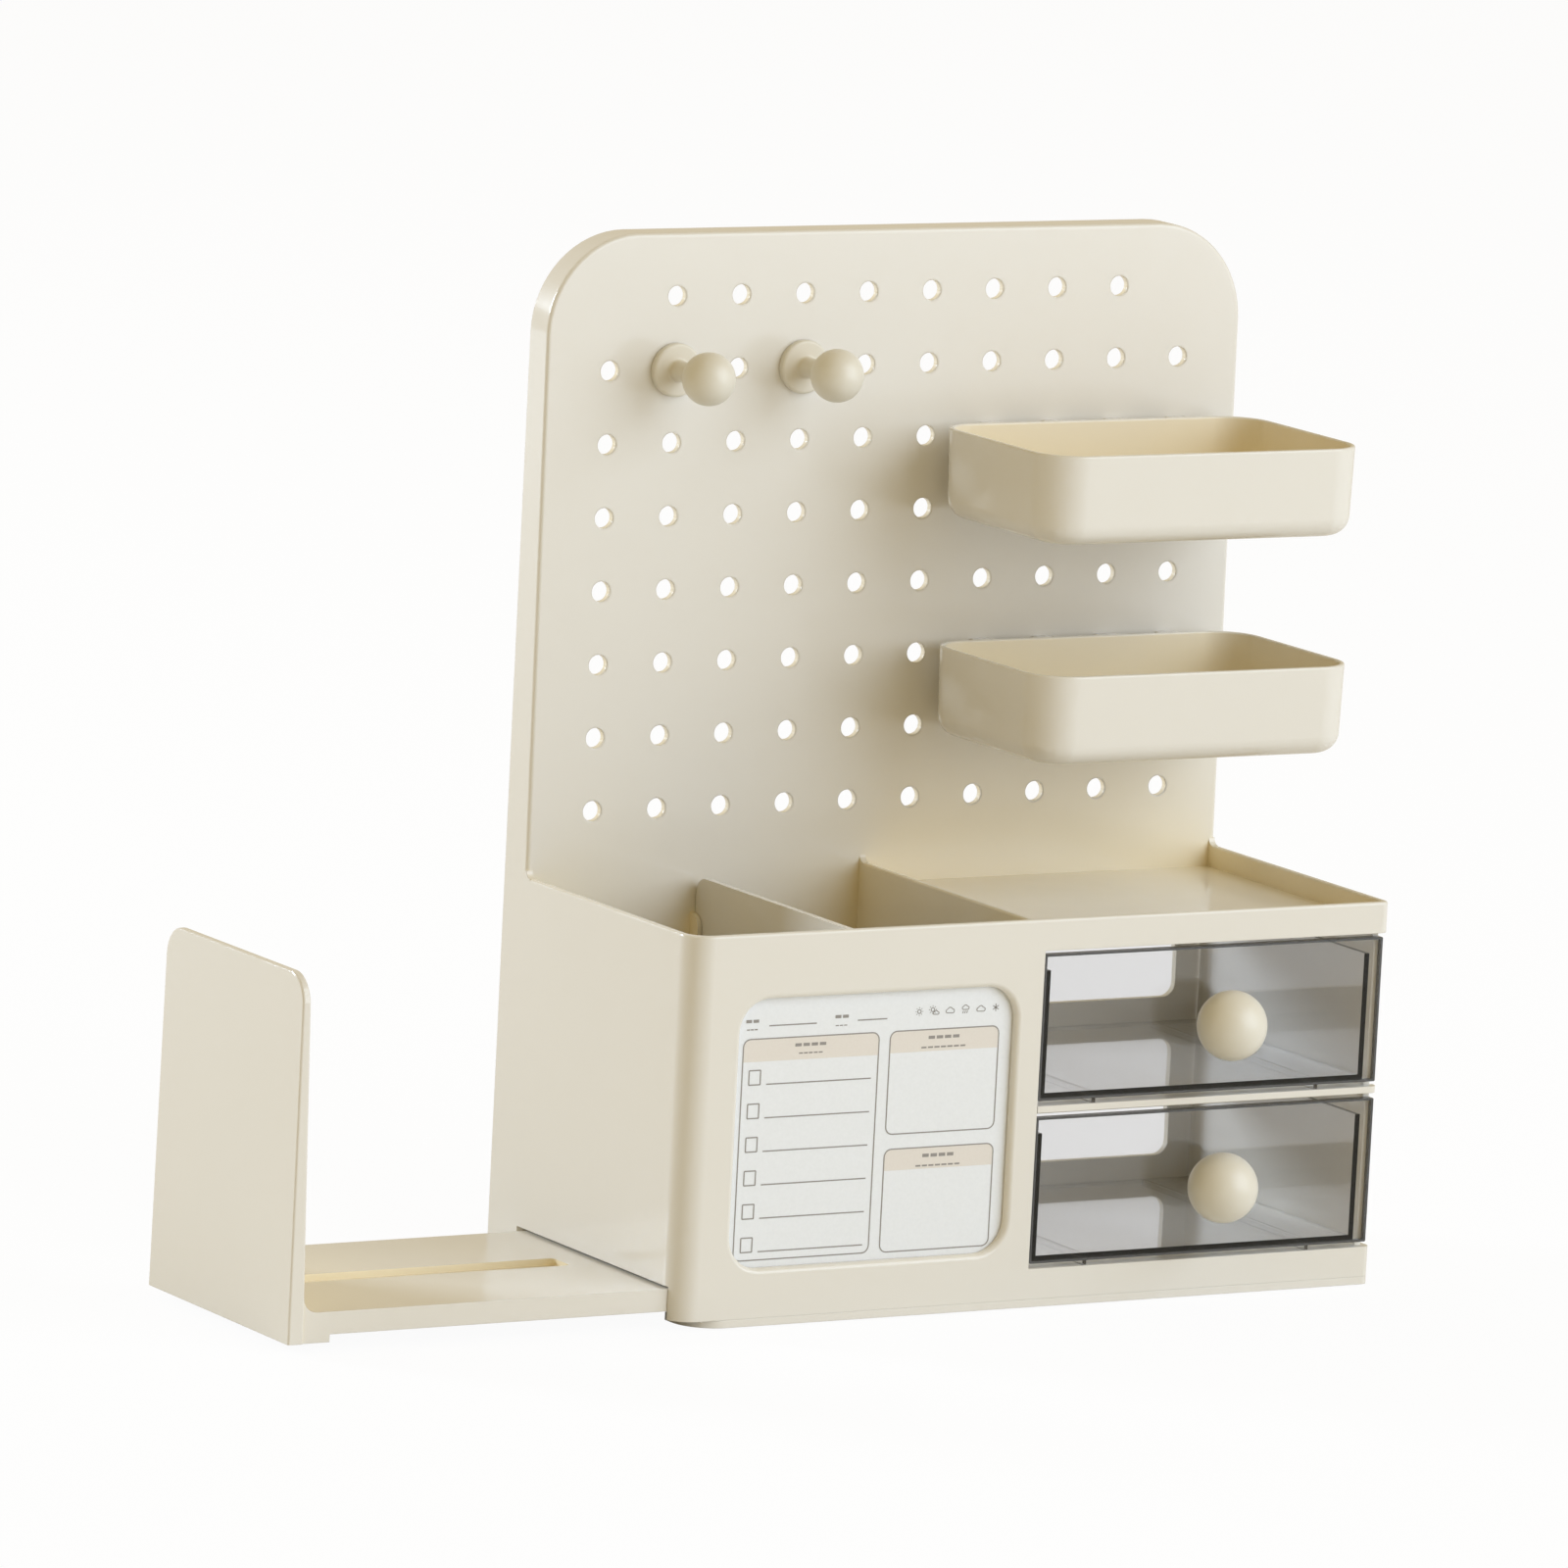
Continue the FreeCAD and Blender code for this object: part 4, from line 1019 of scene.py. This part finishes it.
HEADINGS: tuple[tuple[Box, int], ...] = (
    ((-0.1133, -0.1078, 0.1024, 0.1048), 2), ((-0.1129, -0.1085, 0.1003, 0.1012), 3),
    ((-0.0790, -0.0733, 0.1024, 0.1048), 2), ((-0.0788, -0.0740, 0.1002, 0.1010), 3),
    ((-0.0940, -0.0814, 0.0936, 0.0960), 4), ((-0.0924, -0.0829, 0.0914, 0.0925), 5),
    ((-0.0424, -0.0297, 0.0936, 0.0960), 4), ((-0.0450, -0.0273, 0.0908, 0.0921), 7),
    ((-0.0424, -0.0296, 0.0532, 0.0558), 4), ((-0.0449, -0.0272, 0.0504, 0.0517), 7))
"""Where headings would stand, and the number of plain bars in each."""


@dataclass
class MemoCard(SubAssembly):
    """Card behind the window, with ruled boxes, a checklist and plain bars for headings.

    Attributes:
        cloud_arcs: Centre across and up, radius, first and last angle of each arc, in halves
            of a cloud's width and degrees.
    """

    ink_depth: float = 0.00004
    line: float = 0.00042
    rows: int = 6
    row_pitch: float = 0.01136
    first_row_z: float = 0.0818
    box_left: float = -0.1114
    box_width: float = 0.0048
    box_height: float = 0.0053
    rule_left: float = -0.1045
    rule_right: float = -0.0641
    box_radius: float = 0.0004
    panel_radius: float = 0.0028
    sign_z: float = 0.1038
    sign_line: float = 0.7
    sun_radius: float = 0.0008
    sun_rays: int = 8
    ray_ends: tuple[float, float] = (0.0011, 0.0015)
    ray_line: float = 0.7
    drop_pitch: float = 0.0008
    drop_slant: float = 0.0003
    drop_ends: tuple[float, float] = (0.0006, 0.0014)
    flake_radius: float = 0.0013
    cloud_arc_steps: int = 6
    cloud_arcs: tuple[tuple[float, float, float, float, float], ...] = (
        (0.55, 0.45, 0.45, -90.0, 50.0), (-0.02, 0.62, 0.62, 30.0, 150.0),
        (-0.55, 0.45, 0.42, 110.0, 270.0))
    bar_share: float = 0.78
    bar_squeeze: float = 0.28

    def build(self) -> None:
        """Make and dress the card and its print."""
        self.dress("memo_card", "memo_card_stock", self.finishes.card, Body.CARD, Slot.CARD)
        self.face_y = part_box("memo_card")[0].y
        self._tints()
        self._rules()
        self._checklist()

    def _print(self, layer: PrintLayer, name: str, ink: Material) -> None:
        """Put a finished layer on the card."""
        settle(link_mesh(name, layer.mesh(name), ink), Body.CARD, Slot.CARD)

    def _tints(self) -> None:
        """Pale heading band at the top of each panel."""
        layer = PrintLayer(self.face_y, self.ink_depth)
        inset = self.line / 2.0
        for (x0, x1, _, z1), foot in PANELS:
            band = rounded_loop((x0 + inset, x1 - inset, foot, z1 - inset),
                                self.panel_radius - inset)
            top = [point for point in band if point[1] > foot + self.panel_radius]
            layer.slab([(x1 - inset, foot)] + top + [(x0 + inset, foot)])
        self._print(layer, "card_heading_tints", self.finishes.tint)

    def _rules(self) -> None:
        """Panel outlines, field rules, heading bars and weather signs."""
        layer = PrintLayer(self.face_y - self.ink_depth, self.ink_depth)
        for panel, _ in PANELS:
            layer.frame(panel, self.panel_radius, self.line)
        for x0, x1, z in FIELD_RULES:
            layer.bar((x0, x1, z, z + self.line))
        for box, words in HEADINGS:
            self._word_bars(layer, box, words)
        for sign in Weather:
            self._weather(layer, sign.value)
        self._print(layer, "card_rules", self.finishes.ink)

    def _word_bars(self, layer: PrintLayer, box: Box, words: int) -> None:
        """Row of short plain bars where a heading would stand.

        Args:
            layer: Layer to print on.
            box: Where the heading would stand.
            words: How many bars.
        """
        x0, x1, z0, z1 = box
        pitch = (x1 - x0) / words
        squeeze = (z1 - z0) * self.bar_squeeze
        for k in range(words):
            layer.bar((x0 + pitch * k, x0 + pitch * (k + self.bar_share), z0 + squeeze,
                       z1 - squeeze))

    def _cloud(self, layer: PrintLayer, x: float, z: float, size: float) -> None:
        """Outlined cloud.

        Args:
            layer: Layer to print on.
            x: Centre across.
            z: Foot of the cloud.
            size: Half its width.
        """
        outer = []
        inner = []
        thin = self.line * self.sign_line
        for across, up, radius, start, end in self.cloud_arcs:
            for k in range(self.cloud_arc_steps + 1):
                angle = math.radians(start + (end - start) * k / self.cloud_arc_steps)
                for loop, arm in ((outer, radius * size), (inner, radius * size - thin)):
                    loop.append((x + across * size + arm * math.cos(angle),
                                 z + up * size + arm * math.sin(angle)))
        layer.slab(outer, inner)

    def _weather(self, layer: PrintLayer, sign: Sign) -> None:
        """One weather sign.

        Args:
            layer: Layer to print on.
            sign: What it is drawn from.
        """
        thin = self.line * self.sign_line
        x, z = sign.x, self.sign_z
        if sign.sun is not None:
            cx, cz = x + sign.sun[0], z + sign.sun[1]
            layer.ring((cx, cz), self.sun_radius, thin)
            for k in range(self.sun_rays):
                angle = math.tau * k / self.sun_rays
                ends = [(cx + arm * math.cos(angle), cz + arm * math.sin(angle))
                        for arm in self.ray_ends]
                layer.stroke(*ends, thin * self.ray_line)
        if sign.cloud is not None:
            across, up, size = sign.cloud
            self._cloud(layer, x + across, z + up, size)
        head, foot = self.drop_ends
        for k in range(sign.drops):
            cx = x + (k - (sign.drops - 1) / 2) * self.drop_pitch
            layer.stroke((cx, z - head), (cx - self.drop_slant, z - foot), thin)
        for k in range(sign.arms):
            angle = math.pi * k / sign.arms + math.pi / 2.0
            across, up = [self.flake_radius * part for part in (math.cos(angle), math.sin(angle))]
            layer.stroke((x - across, z - up), (x + across, z + up), thin)

    def _row_tree(self) -> NodeTree:
        """Points down the card, one for each row of the checklist.

        Returns:
            The tree, with inputs for the count and the pitch.
        """
        tree = new_tree("checklist_rows", "GeometryNodeTree", [
            ("Geometry", "Geometry"), ("Rows", "Int"), ("Step", "Vector"),
            ("Material", "Material")], [("Geometry", "Geometry")])
        source = tree.nodes["Group Input"].outputs
        run = add_node(tree, "GeometryNodeMeshLine",
                       {"Count": source["Rows"], "Offset": source["Step"]})
        close_tree(tree, run.outputs["Mesh"])
        return tree

    def _checklist(self) -> None:
        """Tick box and rule, repeated down the panel."""
        layer = PrintLayer(self.face_y - self.ink_depth, self.ink_depth)
        z = self.first_row_z
        layer.frame((self.box_left, self.box_left + self.box_width, z, z + self.box_height),
                    self.box_radius, self.line)
        layer.bar((self.rule_left, self.rule_right, z, z + self.line))
        rows = link_mesh("card_checklist", layer.mesh("card_checklist"), self.finishes.ink)
        apply_tree(rows, self._row_tree(), {
            "Rows": self.rows, "Step": (0.0, 0.0, -self.row_pitch),
            "Material": self.finishes.ink}, self.finishes.ink)
        settle(rows, Body.CARD, Slot.CARD)


# ---- studio
@dataclass(frozen=True)
class SoftBox:
    """Square lamp that looks at a point."""

    name: str
    place: Triple
    aim: Triple
    size: float
    power: float
    colour: Triple = (0.725, 0.84, 1.0)

    def build(self) -> None:
        """Hang the lamp."""
        data = bpy.data.lights.new(self.name, "AREA")
        data.shape = "SQUARE"
        data.size = self.size
        data.energy = self.power
        data.color = self.colour
        lamp = bpy.data.objects.new(self.name, data)
        bpy.context.scene.collection.objects.link(lamp)
        lamp.location = self.place
        aim = Vector(self.aim) - Vector(self.place)
        lamp.rotation_euler = aim.to_track_quat("-Z", "Y").to_euler()


@dataclass
class Studio:
    """Pale floor, white surroundings with a warm fill, soft lamps and the camera.

    Attributes:
        level: Strength of the fill light.
        fill: Colour of the fill light.
        mirrored: Share of plain white in the surroundings as mirrored.
        glow: Share of plain white in the floor as seen.
    """

    lens: float = 295.1
    sensor: float = 36.0
    far: float = 30.0
    roll_deg: float = 2.93
    eye: Triple = (-2.2348, -3.6781, 0.8791)
    look: Triple = (0.50088, 0.84994, -0.16353)
    lamps: tuple[SoftBox, ...] = (
        SoftBox("front_right", (1.83, -2.62, 1.5), (0.0, 0.0, 0.15), 3.2, 117.0),
        SoftBox("rear_left", (-2.1, 2.4, 1.2), (-0.1, 0.0, 0.15), 0.9, 88.0))
    level: float = 0.5
    fill: Triple = (1.0, 0.75, 0.30)
    white: Colour = rgb(1.0, 1.0, 1.0)
    mirrored: float = 0.25
    glow: float = 0.95
    floor_half: float = 6.0
    floor_colour: Colour = rgb(0.86, 0.86, 0.85)
    floor_roughness: float = 0.9

    def build(self) -> None:
        """Set up everything round the object."""
        self._world()
        self._floor()
        for lamp in self.lamps:
            lamp.build()
        self._camera()
        bpy.context.scene.view_settings.view_transform = "Standard"

    def _world(self) -> None:
        """World that fills the shade and shows plain white behind the object."""
        world = bpy.data.worlds.new("plain_studio")
        world.use_nodes = True
        tree = world.node_tree
        fill = tree.nodes["Background"]
        feed(tree, fill, {"Color": rgb(*self.fill), "Strength": self.level})
        white = add_node(tree, "ShaderNodeBackground", {"Color": self.white})
        mix = mix_shaders(tree, self._shown(tree, 1.0), fill, white)
        feed(tree, tree.nodes["World Output"], {"Surface": mix.outputs[0]})
        bpy.context.scene.world = world

    def _shown(self, tree: NodeTree, most: float) -> NodeSocket:
        """Share of plain white: most of it when seen, a part of that when mirrored.

        Args:
            tree: Tree of the floor or the world.
            most: Share of white when seen, straight or through glass.

        Returns:
            Socket with the share.
        """
        path = add_node(tree, "ShaderNodeLightPath", {}).outputs
        seen = maths(tree, "MAXIMUM", path["Is Camera Ray"], path["Is Transmission Ray"])
        part = maths(tree, "MULTIPLY", path["Is Glossy Ray"], self.mirrored)
        return maths(tree, "MULTIPLY", maths(tree, "MAXIMUM", seen, part), most)

    def _floor(self) -> None:
        """Pale floor that shows white, keeps a faint shadow and is clear from below."""
        mesh = bpy.data.meshes.new("studio_floor")
        half = self.floor_half
        mesh.from_pydata([(-half, -half, 0.0), (half, -half, 0.0), (half, half, 0.0),
                          (-half, half, 0.0)], [], [(0, 1, 2, 3)])
        tree, shader, material = new_material("pale_floor")
        feed(tree, shader, {"Base Color": self.floor_colour, "Roughness": self.floor_roughness,
                            "Specular IOR Level": 0.0})
        glow = add_node(tree, "ShaderNodeEmission", {"Color": self.white})
        above = mix_shaders(tree, self._shown(tree, self.glow), shader, glow)
        below = add_node(tree, "ShaderNodeBsdfTransparent", {})
        side = add_node(tree, "ShaderNodeNewGeometry", {})
        one_way = mix_shaders(tree, side.outputs["Backfacing"], above, below)
        feed(tree, tree.nodes["Material Output"], {"Surface": one_way.outputs[0]})
        floor = link_mesh("studio_floor", mesh, material)

    def _camera(self) -> None:
        """Camera at the left front, a little above, with a slight roll."""
        forward = Vector(self.look).normalized()
        right = forward.cross(Vector((0.0, 0.0, 1.0))).normalized()
        up = right.cross(forward).normalized()
        roll = math.radians(self.roll_deg)
        turned_right = right * math.cos(roll) + up * math.sin(roll)
        turned_up = up * math.cos(roll) - right * math.sin(roll)
        data = bpy.data.cameras.new("front_left")
        data.lens = self.lens
        data.sensor_width = self.sensor
        data.clip_end = self.far
        camera = bpy.data.objects.new("front_left", data)
        bpy.context.scene.collection.objects.link(camera)
        turn = Matrix((turned_right, turned_up, -forward)).transposed().to_4x4()
        camera.matrix_world = Matrix.Translation(Vector(self.eye)) @ turn
        bpy.context.scene.camera = camera


def main() -> None:
    """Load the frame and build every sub-assembly."""
    logging.basicConfig(level=logging.INFO, format="%(name)s: %(message)s")
    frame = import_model()
    finishes = Finishes()
    for part in (Housing(frame, finishes), Underside(frame, finishes),
                 DrawerUnit(frame, finishes, "upper", Body.DRAWER_UPPER),
                 DrawerUnit(frame, finishes, "lower", Body.DRAWER_LOWER),
                 BookEnd(frame, finishes), Accessories(frame, finishes),
                 MemoCard(frame, finishes)):
        part.build()
        LOG.info("built %s", type(part).__name__)
    Studio().build()


if __name__ == "__main__":
    main()
